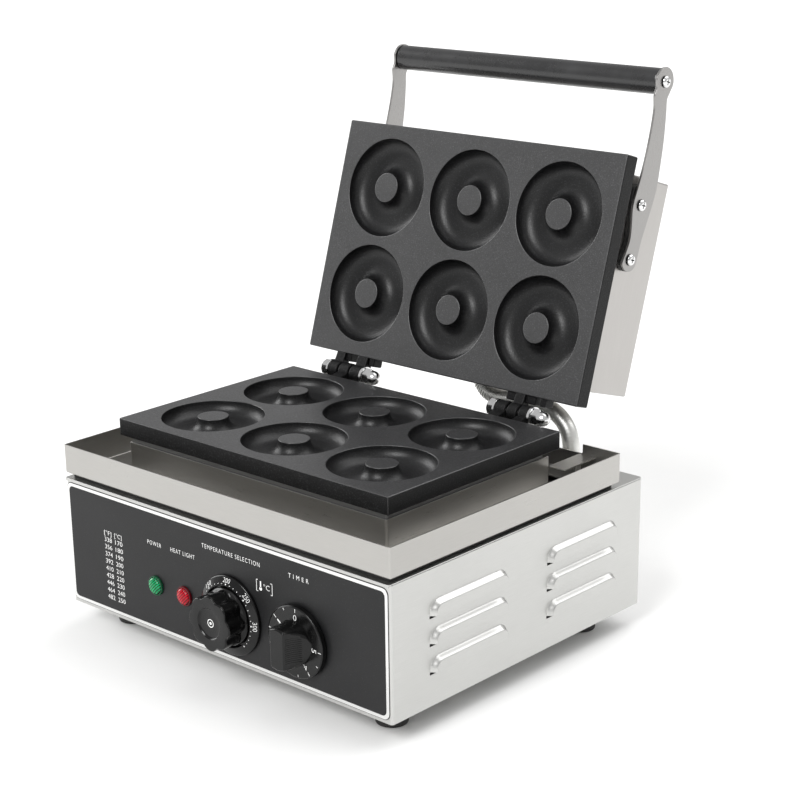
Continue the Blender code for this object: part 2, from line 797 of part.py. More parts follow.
def build_electrics():
    """The sensor's bulb and capillary, the terminal block, its wires and the mains gland."""
    bulb_z = 152.0
    add_cylinder("thermostat_bulb", (-70.0, 200.0, bulb_z), ALONG_X, 3.0, 90.0, CHROME, steps=12)
    capillary = smooth_path(
        [
            (20.3, 200.0, bulb_z),
            (30.0, 200.0, bulb_z),
            (38.0, 190.0, 147.0),
            (38.0, 176.0, 130.0),
            (36.0, 130.0, 100.0),
            (30.0, 70.0, 76.0),
            (26.0, 40.0, 68.0),
            (26.0, 30.4, 66.0),
        ],
        2,
    )
    add_tube("thermostat_capillary", capillary, 1.1, CHROME, resolution=1)
    add_box("terminal_block", (-60.0, 225.0, 21.6), (0.0, 247.0, 40.0), NYLON, rounded=1.0)
    supply = smooth_path(
        [
            (GLAND_X, CASE_DEPTH - 22.0, GLAND_Z),
            (GLAND_X + 4.0, 262.0, 48.0),
            (-100.0, 244.0, 36.0),
            (-80.0, 236.0, 31.0),
            (-60.4, 236.0, 31.0),
        ],
        3,
    )
    add_tube("wire_supply", supply, 3.0, RUBBER, resolution=1)
    feed = smooth_path(
        [
            (0.4, 236.0, 31.0),
            (30.0, 236.0, 31.0),
            (70.0, 200.0, 36.0),
            (88.0, 120.0, 44.0),
            (89.0, 60.0, 50.0),
            (89.0, 38.4, 52.0),
        ],
        3,
    )
    add_tube("wire_timer", feed, 1.6, RUBBER, resolution=1)
    gland = [
        (9.5, 12.0),
        (11.5, 10.0),
        (11.5, 2.0),
        (12.5, 2.0),
        (12.5, GAP),
        (8.0, GAP),
        (8.0, -16.0),
        (4.5, -16.0),
        (4.5, 12.0),
    ]
    at = (GLAND_X, CASE_DEPTH, GLAND_Z)
    add_turned("cable_gland", gland, at, ALONG_BACK, BLACK_PLASTIC, steps=20, ring=True)
    behind = (GLAND_X, CASE_DEPTH - SHEET - GAP - 4.0, GLAND_Z)
    add_hex_nut("gland_nut", behind, ALONG_BACK, 12.0, 4.0, 8.4, BLACK_PLASTIC)


# ---------------------------------------------------------------- tray and lower plate


def build_tray():
    half = CASE_WIDTH / 2
    middle = (TRAY_BOTTOM + TRAY_TOP) / 2
    height = TRAY_TOP - TRAY_BOTTOM
    mesh = box_mesh("drip_tray", (CASE_WIDTH, TRAY_DEPTH, height), 1.6, 2, "VERTICAL")
    tray = place(link("drip_tray", mesh, STEEL), (0.0, TRAY_DEPTH / 2, middle))
    sheet = TRAY_SHEET
    inside = add_box(
        "tray_inside",
        (-half + sheet, sheet, TRAY_BOTTOM + sheet),
        (half - sheet, TRAY_DEPTH - sheet, TRAY_TOP + 10.0),
        cutter=True,
    )
    cut(tray, inside)
    join(tray, tray_upstand())
    opening = add_box(
        "tray_opening",
        (-UPSTAND_HALF_WIDTH + sheet, UPSTAND_FRONT + sheet, TRAY_BOTTOM - 5.0),
        (UPSTAND_HALF_WIDTH - sheet, UPSTAND_BACK + 20.0, TRAY_BOTTOM + 5.0),
        cutter=True,
    )
    cut(tray, opening)
    loops = [rounded_rectangle(-BACK_CUTOUT_HALF_WIDTH, FLAP_HEIGHT, BACK_CUTOUT_HALF_WIDTH, 190.0, 2.0, 3)]
    notch = add_outline(
        "tray_back_notch", loops, 12.0, (0.0, TRAY_DEPTH, 0.0), FACE_FRONT, cutter=True
    )
    cut(tray, notch)
    for i, (x, y) in enumerate(((-160.0, 20.0), (160.0, 20.0), (-160.0, 250.0), (160.0, 250.0))):
        pad = add_cylinder(
            f"tray_dimple_{i}", (x, y, CASE_TOP + GAP), (0, 0, 0), 6.0, TRAY_BOTTOM + 0.5 - CASE_TOP - GAP,
            cutter=True, steps=12,
        )
        join(tray, pad)
    return tray


def tray_upstand():
    """The inner wall on three sides, open at the back."""
    w = UPSTAND_HALF_WIDTH
    t = TRAY_SHEET
    outline = [
        (-w, UPSTAND_BACK),
        (-w, UPSTAND_FRONT),
        (w, UPSTAND_FRONT),
        (w, UPSTAND_BACK),
        (w - t, UPSTAND_BACK),
        (w - t, UPSTAND_FRONT + t),
        (-w + t, UPSTAND_FRONT + t),
        (-w + t, UPSTAND_BACK),
    ]
    low = TRAY_BOTTOM + t / 2
    return add_outline(
        "tray_upstand",
        [outline],
        UPSTAND_TOP - low,
        (0.0, 0.0, (UPSTAND_TOP + low) / 2),
        (0.0, 0.0, 0.0),
        cutter=True,
    )


def build_tray_bracket():
    """A folded strip in the tray's rear right corner: a flat top on one narrow leg."""
    top = add_box(
        "tray_bracket",
        (UPSTAND_HALF_WIDTH - 1.4, UPSTAND_BACK + 1.6, FLAP_HEIGHT - 1.3),
        (156.5, TRAY_DEPTH - TRAY_SHEET - GAP, FLAP_HEIGHT - 0.3),
        STEEL,
    )
    leg = add_box(
        "tray_bracket_leg",
        (154.9, 244.0, TRAY_BOTTOM + TRAY_SHEET + GAP),
        (156.5, 250.0, FLAP_HEIGHT - 0.8),
        cutter=True,
    )
    return join(top, leg)


def build_lower_housing():
    gap = GAP + 0.2
    w = UPSTAND_HALF_WIDTH - TRAY_SHEET - gap
    front = UPSTAND_FRONT + TRAY_SHEET + gap
    top = LOWER_PLATE_TOP - PLATE_THICKNESS - GAP
    floor = TRAY_BOTTOM + 2.0
    housing = add_box(
        "lower_housing", (-w, front, floor), (w, UPSTAND_BACK - 4.0, top), STEEL, rounded=1.5, edges="VERTICAL"
    )
    inside = add_box(
        "housing_inside",
        (-w + 1.0, front + 1.0, floor + 1.0),
        (w - 1.0, UPSTAND_BACK - 5.0, top + 10.0),
        cutter=True,
    )
    slot = add_box("housing_slot", (26.0, 165.0, floor - 5.0), (50.0, 206.0, floor + 5.0), cutter=True)
    cut(housing, inside)
    return cut(housing, slot)


def heater_path(z):
    """A flat serpentine with four long runs under the moulds, and both ends at the back."""
    near, second, third, far = 66.0, 106.0, 160.0, 198.0
    left, inner_left, right = -103.0, -78.0, 103.0
    return [
        (-60.0, far, z),
        (left, far, z),
        *heater_turn(left, far, near, z, -1),
        (right, near, z),
        *heater_turn(right, near, second, z, 1),
        (inner_left, second, z),
        *heater_turn(inner_left, second, third, z, -1),
        (right, third, z),
        (right + 9.0, third + 9.0, z),
        (right + 9.0, far - 4.0, z),
        (60.0, far + 3.0, z),
    ]


def heater_turn(x, start_y, end_y, z, side):
    """A rounded U-turn at one end of two runs."""
    step = math.copysign(9.0, end_y - start_y)
    reach = side * 9.0
    return [
        (x + reach * 0.7, start_y + step * 0.3, z),
        (x + reach, start_y + step, z),
        (x + reach, end_y - step, z),
        (x + reach * 0.7, end_y - step * 0.3, z),
        (x, end_y, z),
    ]


def build_lower_heater():
    z = LOWER_PLATE_TOP - PLATE_THICKNESS - GAP - 3.5
    add_tube("lower_heater", heater_path(z), 3.2, STEEL, resolution=1)
    add_box("lower_insulation", (-128.0, 56.0, 138.0), (128.0, 163.0, 148.0), FIBRE)


def ring_profile():
    """The closed section of one ring mould's cutter, from above the face to the mould's floor."""
    middle = (CAVITY_RADIUS + POST_RADIUS) / 2
    half = (CAVITY_RADIUS - POST_RADIUS) / 2
    rim = CAVITY_RADIUS + 0.8
    post_rim = POST_RADIUS - 0.6
    arc = []
    for i in range(CAVITY_ARC_POINTS + 1):
        angle = math.pi * i / CAVITY_ARC_POINTS
        reach = abs(math.cos(angle)) ** 0.8 * math.copysign(1.0, math.cos(angle))
        depth = 0.5 + (CAVITY_DEPTH - 0.5) * max(0.0, math.sin(angle)) ** 0.9
        arc.append((middle + half * reach, -depth))
    return [(rim, 4.0), (rim, 0.3), *arc, (post_rim, 0.3), (post_rim, 4.0)]


def cut_moulds(plate, prefix, face, flip, parent=None):
    profile = ring_profile()
    turn = (180.0, 0.0, 0.0) if flip else (0.0, 0.0, 0.0)
    for i, x in enumerate(CAVITY_COLUMNS):
        for j, y in enumerate(CAVITY_ROWS):
            cutter = add_turned(
                f"{prefix}_mould_{i}{j}", profile, (x, y, face), turn, parent=parent, cutter=True,
                steps=CAVITY_STEPS, ring=True,
            )
            cut(plate, cutter)


def knuckle_outline(plate_low, plate_high):
    """A knuckle's side view: a barrel round the hinge axis, with a web to the plate's back edge."""
    web_start = PLATE_BACK - 2.0
    if plate_high < HINGE_Z:
        low = HINGE_Z - KNUCKLE_RADIUS + 0.5
        high = plate_high - 0.4
        first = -0.6 * math.pi
    else:
        low = plate_low + 0.4
        high = HINGE_Z + KNUCKLE_RADIUS - 0.5
        first = -0.95 * math.pi
    barrel = circle_points((HINGE_Y, HINGE_Z), KNUCKLE_RADIUS, 13, first, 1.55 * math.pi)
    return [(web_start, high), (web_start, low), *barrel]


def add_knuckles(plate, prefix, spans, plate_low, plate_high, parent=None):
    outline = knuckle_outline(plate_low, plate_high)
    for i, (start, end) in enumerate(spans):
        knuckle = add_outline(
            f"{prefix}_knuckle_{i}", [outline], end - start, ((start + end) / 2, 0.0, 0.0), FACE_RIGHT,
            parent=parent, cutter=True,
        )
        join(plate, knuckle)
    for side, x in (("left", -130.0), ("right", 60.0)):
        bore = add_cylinder(
            f"{prefix}_bore_{side}", (x, HINGE_Y, HINGE_Z), ALONG_X, HINGE_BORE_RADIUS, 60.0,
            parent=parent, cutter=True, steps=16,
        )
        cut(plate, bore)


def build_lower_plate():
    low = LOWER_PLATE_TOP - PLATE_THICKNESS
    plate = add_box(
        "lower_plate",
        (-PLATE_HALF_WIDTH, PLATE_FRONT, low),
        (PLATE_HALF_WIDTH, PLATE_BACK, LOWER_PLATE_TOP),
        NON_STICK,
        rounded=1.0,
    )
    spans = (LEFT_KNUCKLES[1], RIGHT_KNUCKLES[0], RIGHT_KNUCKLES[2])
    add_knuckles(plate, "lower", spans, low, LOWER_PLATE_TOP)
    cut_moulds(plate, "lower", LOWER_PLATE_TOP, False)
    return plate


def build_hinge_bolts():
    for side, spans in (("left", LEFT_KNUCKLES), ("right", RIGHT_KNUCKLES)):
        start = spans[0][0] - GAP
        end = spans[2][1] + GAP
        at = (start, HINGE_Y, HINGE_Z)
        reach = end - start + 7.0
        shank = [(0.0, reach), (BOLT_RADIUS, reach), (BOLT_RADIUS, -2.0), (0.0, -2.0)]
        bolt = add_turned(f"hinge_bolt_{side}", shank, at, ALONG_X, CHROME, steps=14)
        head = add_cylinder(
            f"hinge_bolt_head_{side}", at, ALONG_MINUS_X, 7.4, BOLT_HEAD_LENGTH, cutter=True, steps=6
        )
        flange = add_cylinder(
            f"hinge_bolt_flange_{side}", at, ALONG_MINUS_X, BOLT_FLANGE_RADIUS, BOLT_FLANGE_THICKNESS,
            cutter=True, steps=20,
        )
        join(bolt, head)
        join(bolt, flange)
        bore = BOLT_RADIUS + GAP
        washer = [(8.2, 2.2), (8.2, 0.0), (bore, 0.0), (bore, 2.2)]
        add_turned(
            f"hinge_washer_{side}", washer, (end, HINGE_Y, HINGE_Z), ALONG_X, CHROME, steps=20, ring=True
        )
        build_acorn_nut(side, end + 2.2 + GAP)


def build_acorn_nut(side, x):
    """A domed cap nut: six flats and a round dome, with a blind bore for the bolt."""
    flats = add_cylinder(f"hinge_nut_{side}", (x, HINGE_Y, HINGE_Z), ALONG_X, 7.4, 6.8, CHROME, steps=6)
    dome = [(0.0, 14.4), (2.6, 13.9), (4.6, 12.4), (5.9, 10.0), (6.2, 6.4), (6.2, 3.0), (0.0, 3.0)]
    dome = add_turned(
        f"hinge_nut_dome_{side}", dome, (x, HINGE_Y, HINGE_Z), ALONG_X, cutter=True, steps=18
    )
    bore = add_cylinder(
        f"hinge_nut_bore_{side}", (x - 2.0, HINGE_Y, HINGE_Z), ALONG_X, BOLT_RADIUS + GAP, 9.0,
        cutter=True, steps=14,
    )
    join(flats, dome)
    cut(flats, bore)


# ---------------------------------------------------------------- lid


def build_upper_plate(lid):
    high = UPPER_PLATE_FACE + PLATE_THICKNESS
    plate = add_box(
        "upper_plate",
        (-PLATE_HALF_WIDTH, PLATE_FRONT, UPPER_PLATE_FACE),
        (PLATE_HALF_WIDTH, PLATE_BACK, high),
        NON_STICK,
        lid,
        rounded=1.0,
    )
    spans = (LEFT_KNUCKLES[0], LEFT_KNUCKLES[2], RIGHT_KNUCKLES[1])
    add_knuckles(plate, "upper", spans, UPPER_PLATE_FACE, high, lid)
    tabs = [(span, 2.2) for span in BACK_WEBS] + [(span, 1.0) for span in STOP_LUGS]
    for i, ((start, end), recess) in enumerate(tabs):
        tab = add_box(
            f"back_tab_{i}", (start, PLATE_BACK - 2.0, UPPER_PLATE_FACE + recess), (end, LUG_BACK, high - 2.0),
            parent=lid, cutter=True,
        )
        join(plate, tab)
    cut_moulds(plate, "upper", UPPER_PLATE_FACE, True, lid)
    return plate


def build_cover(lid):
    low = UPPER_PLATE_FACE + PLATE_THICKNESS + GAP
    t = COVER_SHEET
    w = COVER_HALF_WIDTH
    cover = add_box(
        "upper_cover", (-w, COVER_FRONT, low), (w, COVER_BACK, COVER_TOP), STEEL, lid, rounded=1.2, segments=1
    )
    inside = add_box(
        "cover_inside",
        (-w + t, COVER_FRONT + t, low - 5.0),
        (w - t, COVER_BACK - t, COVER_TOP - t),
        parent=lid,
        cutter=True,
    )
    cut(cover, inside)
    for i, y in enumerate(ARM_SCREW_Y):
        hole = add_cylinder(
            f"cover_screw_hole_{i}", (-w - 5.0, y, ARM_SCREW_Z), ALONG_X, SCREW_SHANK_RADIUS + GAP,
            2 * w + 10.0, parent=lid, cutter=True, steps=12,
        )
        cut(cover, hole)
    conduit_hole = add_cylinder(
        "cover_conduit_hole", (CONDUIT_X_HIGH, COVER_BACK - 5.0, CONDUIT_LID_Z), ALONG_BACK,
        CONDUIT_RADIUS + 0.6, 10.0, parent=lid, cutter=True,
    )
    return cut(cover, conduit_hole)


def build_upper_heater(lid):
    z = UPPER_PLATE_FACE + PLATE_THICKNESS + GAP + 3.5
    add_tube("upper_heater", heater_path(z), 3.2, STEEL, lid, resolution=1)
    add_box("upper_insulation", (-126.0, 56.0, 202.0), (126.0, 205.0, 212.0), FIBRE, lid)


def arm_outline(start):
    """The arm from a given distance behind its eye, as a closed outline about the eye's centre."""
    end_s = ARM_SCREW_Y[1] - EYE_Y
    end_t = ARM_SCREW_Z - EYE_Z
    stations = [s for s in ARM_STATIONS if s[0] >= start]
    lower = [(s, low) for s, low, _ in stations]
    upper = [(s, high) for s, _, high in stations]
    tip = circle_points((end_s, end_t), ARM_END_RADIUS, 5, -0.38 * math.pi, 0.76 * math.pi)
    if start > 0:
        points = lower + tip + upper[::-1]
    else:
        eye = circle_points((0.0, 0.0), EYE_RADIUS, 7, 0.3 * math.pi, 1.4 * math.pi)
        points = eye + lower + tip + upper[::-1]
    return [(p.x, p.y) for p in smooth_loop([(a, b, 0.0) for a, b in points], 2)]


def build_handle(lid):
    screws = [(y - EYE_Y, ARM_SCREW_Z - EYE_Z) for y in ARM_SCREW_Y]
    hole = SCREW_SHANK_RADIUS + GAP
    screw_holes = [circle_points(c, hole, 12) for c in screws]
    eye_hole = circle_points((0.0, 0.0), hole, 12)
    spacer_inner = COVER_HALF_WIDTH + GAP
    arm_inner = spacer_inner + SPACER_THICKNESS + GAP
    arm_outer = arm_inner + ARM_SHEET
    for side, sign in (("left", -1), ("right", 1)):
        spacer_x = sign * (spacer_inner + SPACER_THICKNESS / 2)
        arm_x = sign * (arm_inner + ARM_SHEET / 2)
        add_outline(
            f"arm_spacer_{side}", [arm_outline(SPACER_START), *screw_holes], SPACER_THICKNESS,
            (spacer_x, EYE_Y, EYE_Z), FACE_RIGHT, BLACK_PLASTIC, lid,
        )
        add_outline(
            f"handle_arm_{side}", [arm_outline(0.0), eye_hole, *screw_holes], ARM_SHEET,
            (arm_x, EYE_Y, EYE_Z), FACE_RIGHT, STEEL, lid,
        )
        turn = ALONG_X if sign > 0 else ALONG_MINUS_X
        head_x = sign * (arm_outer + GAP)
        for level, y in zip(("upper", "lower"), ARM_SCREW_Y):
            add_screw(f"arm_screw_{side}_{level}", (head_x, y, ARM_SCREW_Z), turn, 12.0, parent=lid)
        add_screw(f"grip_screw_{side}", (head_x, EYE_Y, EYE_Z), turn, 14.0, parent=lid)
    build_grip(lid, arm_inner - GAP)


def add_screw(name, at, turn, shank, head=SCREW_HEAD_RADIUS, radius=SCREW_SHANK_RADIUS, parent=None):
    """A pan-head screw whose head sits on its origin and whose shank runs along its own -Z."""
    h = head * 0.55
    profile = [
        (0.0, h),
        (head * 0.45, h * 0.96),
        (head * 0.8, h * 0.72),
        (head, h * 0.25),
        (head, 0.0),
        (radius, 0.0),
        (radius, -shank),
        (0.0, -shank),
    ]
    return add_turned(name, profile, at, turn, CHROME, parent, steps=10)


def build_grip(lid, half):
    at = (-half, EYE_Y, EYE_Z)
    length = 2 * half
    r = GRIP_RADIUS
    sleeve = [(r - 0.8, length), (r, length - 0.8), (r, 0.8), (r - 0.8, 0.0), (5.4, 0.0), (5.4, length)]
    add_turned("handle_grip", sleeve, at, ALONG_X, BLACK_PLASTIC, lid, steps=24, ring=True)
    rod = add_cylinder("grip_rod", at, ALONG_X, 5.0, length, STEEL, lid, steps=14)
    for side, x in (("left", -half - 1.0), ("right", half - 14.0)):
        hole = add_cylinder(
            f"grip_rod_hole_{side}", (x, EYE_Y, EYE_Z), ALONG_X, SCREW_SHANK_RADIUS + GAP, 15.0,
            parent=lid, cutter=True, steps=12,
        )
        cut(rod, hole)


def open_lid_point(x, y, z):
    """Where a point of the shut lid stands once the lid is open."""
    angle = math.radians(LID_OPEN_DEGREES)
    back = y - HINGE_Y
    up = z - HINGE_Z
    return (
        x,
        HINGE_Y + back * math.cos(angle) + up * math.sin(angle),
        HINGE_Z - back * math.sin(angle) + up * math.cos(angle),
    )


def conduit_route():
    """From under the deck's rear strip, up and over to the cover's lower wall."""
    top = [open_lid_point(CONDUIT_X_HIGH, COVER_BACK + d, CONDUIT_LID_Z) for d in (9.0, 0.0, -6.0)]
    return [
        (CONDUIT_X_LOW, CONDUIT_Y_LOW, 118.0),
        (CONDUIT_X_LOW, CONDUIT_Y_LOW, 138.0),
        (CONDUIT_X_LOW - 0.6, 286.2, 148.0),
        (115.5, 287.0, 158.5),
        (106.5, 288.2, 167.5),
        (93.0, 289.8, 172.8),
        (76.0, 291.6, 174.2),
        (56.0, 293.6, 172.2),
        (38.0, 295.5, 169.6),
        (24.0, 297.3, 171.0),
        (15.0, 299.4, 176.0),
        *top,
    ]


def build_conduit(lid):
    route = conduit_route()
    points = smooth_path(route, 2)
    add_tube("conduit", points, CONDUIT_RADIUS, STEEL, resolution=2)
    bore = CONDUIT_RADIUS + GAP + 0.3
    low = (CONDUIT_X_LOW, CONDUIT_Y_LOW, CASE_TOP + GAP)
    add_hex_nut("conduit_nut_lower", low, (0.0, 0.0, 0.0), 11.5, 6.5, bore, CHROME)
    high = (CONDUIT_X_HIGH, COVER_BACK + GAP, CONDUIT_LID_Z)
    add_hex_nut("conduit_nut_upper", high, ALONG_BACK, 11.5, 5.0, bore, CHROME, lid)


def main():
    clear_scene()
    new_collection(COLLECTION)
    new_collection(CUTTERS)
    lid = make_empty("lid_hinge_axis", hinge_point())
    build_casing()
    build_deck()
    build_deck_screws()
    build_bottom_plate()
    build_feet()
    build_control_panel()
    build_lamps()
    build_thermostat()
    build_timer()
    build_electrics()
    build_tray()
    build_tray_bracket()
    build_lower_housing()
    build_lower_heater()
    build_lower_plate()
    build_hinge_bolts()
    build_upper_plate(lid)
    build_cover(lid)
    build_upper_heater(lid)
    build_handle(lid)
    build_conduit(lid)
    lid.rotation_euler.x = -math.radians(LID_OPEN_DEGREES)


main()
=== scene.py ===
"""Looks for a six-ring electric donut maker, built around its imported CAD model.

Sizes are in millimetres in the casing's own frame: X runs across the machine from its middle,
Y runs back from the casing's front face, and Z is the height above the table. Pieces of the lid
are given as they lie with the lid shut, and LID_OPEN turns them to the open rest pose.
"""

import math

import bmesh
import bpy
from mathutils import Euler, Matrix, Vector


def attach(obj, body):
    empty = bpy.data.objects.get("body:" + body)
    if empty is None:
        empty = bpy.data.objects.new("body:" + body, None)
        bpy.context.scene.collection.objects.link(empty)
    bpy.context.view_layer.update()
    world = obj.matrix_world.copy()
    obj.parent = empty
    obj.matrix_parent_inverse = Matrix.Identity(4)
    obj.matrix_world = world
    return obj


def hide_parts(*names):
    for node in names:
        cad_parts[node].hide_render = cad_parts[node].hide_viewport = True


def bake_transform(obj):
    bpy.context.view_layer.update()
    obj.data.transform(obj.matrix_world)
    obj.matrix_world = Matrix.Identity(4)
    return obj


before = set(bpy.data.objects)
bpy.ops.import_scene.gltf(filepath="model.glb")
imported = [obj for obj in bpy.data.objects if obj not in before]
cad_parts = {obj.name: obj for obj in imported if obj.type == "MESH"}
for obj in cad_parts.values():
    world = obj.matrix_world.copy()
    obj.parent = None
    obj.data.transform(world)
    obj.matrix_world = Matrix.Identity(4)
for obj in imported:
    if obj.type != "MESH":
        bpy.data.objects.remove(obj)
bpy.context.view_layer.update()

MM = 0.001
CENTRE_Y = 183.44
HINGE = (0.0, 249.3, 178.0)
LID_OPEN_DEGREES = 107.5

FLAT = (0.0, 0.0, 0.0)
FACE_FRONT = (90.0, 0.0, 0.0)  # own X stays across, own Y goes up, own Z comes forward
FACE_RIGHT = (90.0, 0.0, 90.0)  # own X goes back, own Y goes up, own Z goes right
ALONG_X = (0.0, 90.0, 0.0)
ALONG_MINUS_X = (0.0, -90.0, 0.0)
ALONG_BACK = (-90.0, 0.0, 0.0)
MIRROR_X = Matrix.Diagonal((-1.0, 1.0, 1.0, 1.0))
MIRROR_Z = Matrix.Diagonal((1.0, 1.0, -1.0, 1.0))

# Base casing and deck
CASE_HALF = 180.0
CASE_DEPTH = 301.0
CASE_BOTTOM = 20.0
WALL_TOP = 127.8
CASE_TOP = 129.0
SHEET = 1.2
CORNER = 2.5
DECK_LIP = 2.5
DECK_OPENING = (-118.0, 62.0, 118.0, 204.0)
DECK_SCREWS = ((-150.0, 289.0), (70.0, 289.0))
FOOT_X = 147.0
FOOT_Y = (35.5, 265.5)
LOUVRE_LENGTH = 89.0
LOUVRE_HEIGHT = 12.2
LOUVRE_DEPTH = 4.4
LOUVRE_STARTS = (41.2, 178.0)
LOUVRE_BOTTOMS = (47.5, 70.0, 91.9)
LOUVRE_CORNER = 10.4
LOUVRE_SLOPE = 4.2
LOUVRE_DROP = 2.3
HOOD_LEVELS = 9
GLAND = (-120.0, 52.0)
GLAND_RIM = (9.6, 8.4)
SCREW_HEIGHT = 0.55  # of the head's radius

# Control panel
PANEL = (-175.8, 25.8, 174.9, 122.4)
PANEL_FACE = -0.8
PANEL_CORNER = 4.0
FRAME_BAND = 2.7
GROOVE_SHADE_WIDTH = 0.5
CONTROL_ROW = 61.0
LAMP_ROW = 62.0
LAMP_RADIUS = 8.2
LAMP_HOLE = 6.4
SHAFT_HOLE = 5.2
POWER_LAMP_X = -71.6
HEAT_LAMP_X = -38.0
THERMOSTAT_X = 15.5
TIMER_X = 89.0
KNOB_FRONT = 25.2
THERMOSTAT_KNOB_RADIUS = 23.4
FLUTES = 8
FLUTE_STEPS = 192
TIMER_SKIRT_FACE = 6.6

# Printing. CAP_TO_SIZE turns the height of a capital into the font's own size
CAP_TO_SIZE = 1.45
STROKE_TRIM = -0.05
PRINT_THICKNESS = 0.04
LETTER_GAP = 1.25
WIDE_LETTER_GAP = 1.8
CAPITAL = 3.6
PANEL_WORDS = (
    ("POWER", -71.9, 97.1, 16.3, LETTER_GAP),
    ("HEAT LIGHT", -38.7, 97.3, 28.0, LETTER_GAP),
    ("TEMPERATURE SELECTION", 16.5, 110.1, 64.0, LETTER_GAP),
    ("TIMER", 89.3, 110.2, 21.0, WIDE_LETTER_GAP),
)
TABLE_DIGIT = 3.9
TABLE_WIDTH = 8.9
FAHRENHEIT_X = -129.3
CELSIUS_X = -116.6
TABLE_TOP = 91.9
TABLE_FIRST = 86.0
TABLE_PITCH = 6.25
TABLE_ROWS = 9
UNIT_MARK = (52.7, 93.5)
THERMOSTAT_STEP = 9.15
THERMOSTAT_DOTS = 26.6
THERMOSTAT_NUMBERS = 29.2
TIMER_ZERO = 3.0
TIMER_STEP = -54.0

# Tray
TRAY_DEPTH = 270.6
TRAY_BOTTOM = 132.6
TRAY_TOP = 156.8
TRAY_SHEET = 1.0
TRAY_CORNER = 1.6
# The dark strip in the gap under the tray, painted shade for that gap.
GAP_SHADE_INSET = 4.0
GAP_SHADE_WIDTH = 3.0
UPSTAND = (142.0, 38.0, 227.0, 157.5)
NOTCH_HALF = 143.5
FLAP_HEIGHT = 149.0

# Plates and moulds
PLATE_HALF = 148.2
PLATE_FRONT = 33.3
PLATE_BACK = 233.9
PLATE_THICKNESS = 14.6
PLATE_CORNER = 1.4
PLATE_EDGE = 1.1
LOWER_TOP = 177.8
UPPER_FACE = 178.4
MOULD_X = (-93.3, 0.0, 93.3)
MOULD_Y = (87.0, 179.4)
MOULD_RADIUS = 42.1
MOULD_DEPTH = 12.0
POST_RADIUS = 12.7
KNUCKLE_RADIUS = 7.9
BOLT_RADIUS = 4.0
BOLT_HEAD_LENGTH = 8.8
BOLT_FLANGE = (8.2, 1.8)
LEFT_KNUCKLES = ((-113.6, -103.4), (-101.6, -90.4), (-88.6, -77.0))
RIGHT_KNUCKLES = ((74.0, 84.8), (86.8, 96.6), (98.6, 107.4))
BACK_WEBS = ((-112.0, -98.0), (76.0, 106.0))
STOP_LUGS = ((-76.0, -70.0), (111.0, 117.0))
LUG_BACK = 240.5

# Lid
COVER_HALF = 134.0
COVER_FRONT = 45.4
COVER_BACK = 222.0
COVER_LOW = 193.3
COVER_TOP = 263.8
COVER_EDGE = 1.3
EYE = (-30.6, 219.8)
ARM_INNER = 138.5
ARM_SHEET = 2.0
SPACER_INNER = 134.3
SPACER_SHEET = 3.9
GRIP_RADIUS = 10.5
GRIP_HALF = 138.2
ARM_SCREW_Y = (68.0, 112.0)
ARM_SCREW_Z = 220.9
ARM_STATIONS = (
    (13.0, -10.0, 7.6), (24.0, -6.5, 10.4), (44.0, -5.0, 14.5), (66.0, -5.3, 17.1),
    (84.0, -7.2, 18.2), (100.0, -9.2, 16.3), (112.0, -6.6, 14.1), (126.0, -4.0, 11.8),
    (138.0, -6.0, 11.0),
)
SPACER_START = 80.0

# Conduit
CONDUIT_RADIUS = 7.0
CONDUIT_LOW = (119.5, 286.0)
CONDUIT_LID_X = 12.0
CONDUIT_LID_Z = 225.7
CONDUIT_PITCH = 2.6
CONDUIT_STEP = 0.36
CONDUIT_ROUTE = (
    (119.5, 286.0, 118.0), (119.5, 286.0, 138.0), (118.9, 286.2, 148.0), (115.5, 287.0, 158.5),
    (106.5, 288.2, 167.5), (93.0, 289.8, 172.8), (76.0, 291.6, 174.2), (56.0, 293.6, 172.2),
    (38.0, 295.5, 169.6), (24.0, 297.3, 171.0), (15.0, 299.4, 176.0),
)

# Camera
CAMERA_PLACE = (1031.5, -922.9, 645.3)
CAMERA_TARGET = (8.0, 144.0, 133.9)
CAMERA_ROLL = -0.0216

FLOOR_HALF = 15000.0


# ---- placing


def metres(x, y, z):
    return Vector((x, y - CENTRE_Y, z)) * MM


def turned_by(degrees):
    return Euler([math.radians(a) for a in degrees]).to_matrix().to_4x4()


PIVOT = metres(*HINGE)
LID_OPEN = (
    Matrix.Translation(PIVOT)
    @ Matrix.Rotation(-math.radians(LID_OPEN_DEGREES), 4, "X")
    @ Matrix.Translation(-PIVOT)
)


def new_object(name, data):
    made = bpy.data.objects.new(name, data)
    bpy.context.scene.collection.objects.link(made)
    return made


def add_piece(name, mesh, look, body, at=(0.0, 0.0, 0.0), turn=FLAT, replaces=(), sharp=34.0):
    """A finished piece on its body. Lid pieces are given where they lie with the lid shut."""
    obj = new_object(name, mesh)
    matrix = Matrix.Translation(metres(*at)) @ turned_by(turn)
    obj.matrix_world = LID_OPEN @ matrix if body == "lid" else matrix
    mesh.materials.clear()
    mesh.materials.append(look)
    for face in mesh.polygons:
        face.use_smooth = True
    mesh.set_sharp_from_angle(angle=math.radians(sharp))
    normals = obj.modifiers.new("normals", "WEIGHTED_NORMAL")
    normals.keep_sharp = True
    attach(obj, body)
    if replaces:
        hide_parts(*replaces)
    return obj


# ---- mesh helpers


def to_mesh(bm, name):
    bmesh.ops.remove_doubles(bm, verts=bm.verts, dist=2e-6)
    bmesh.ops.recalc_face_normals(bm, faces=bm.faces)
    mesh = bpy.data.meshes.new(name)
    bm.to_mesh(mesh)
    bm.free()
    return mesh


def merge(bm, mesh, matrix=Matrix.Identity(4)):
    """Adds a mesh to bm through a matrix, and drops the mesh."""
    mesh.transform(matrix)
    bm.from_mesh(mesh)
    bpy.data.meshes.remove(mesh)


def shift(x, y, z):
    return Matrix.Translation(Vector((x, y, z)) * MM)


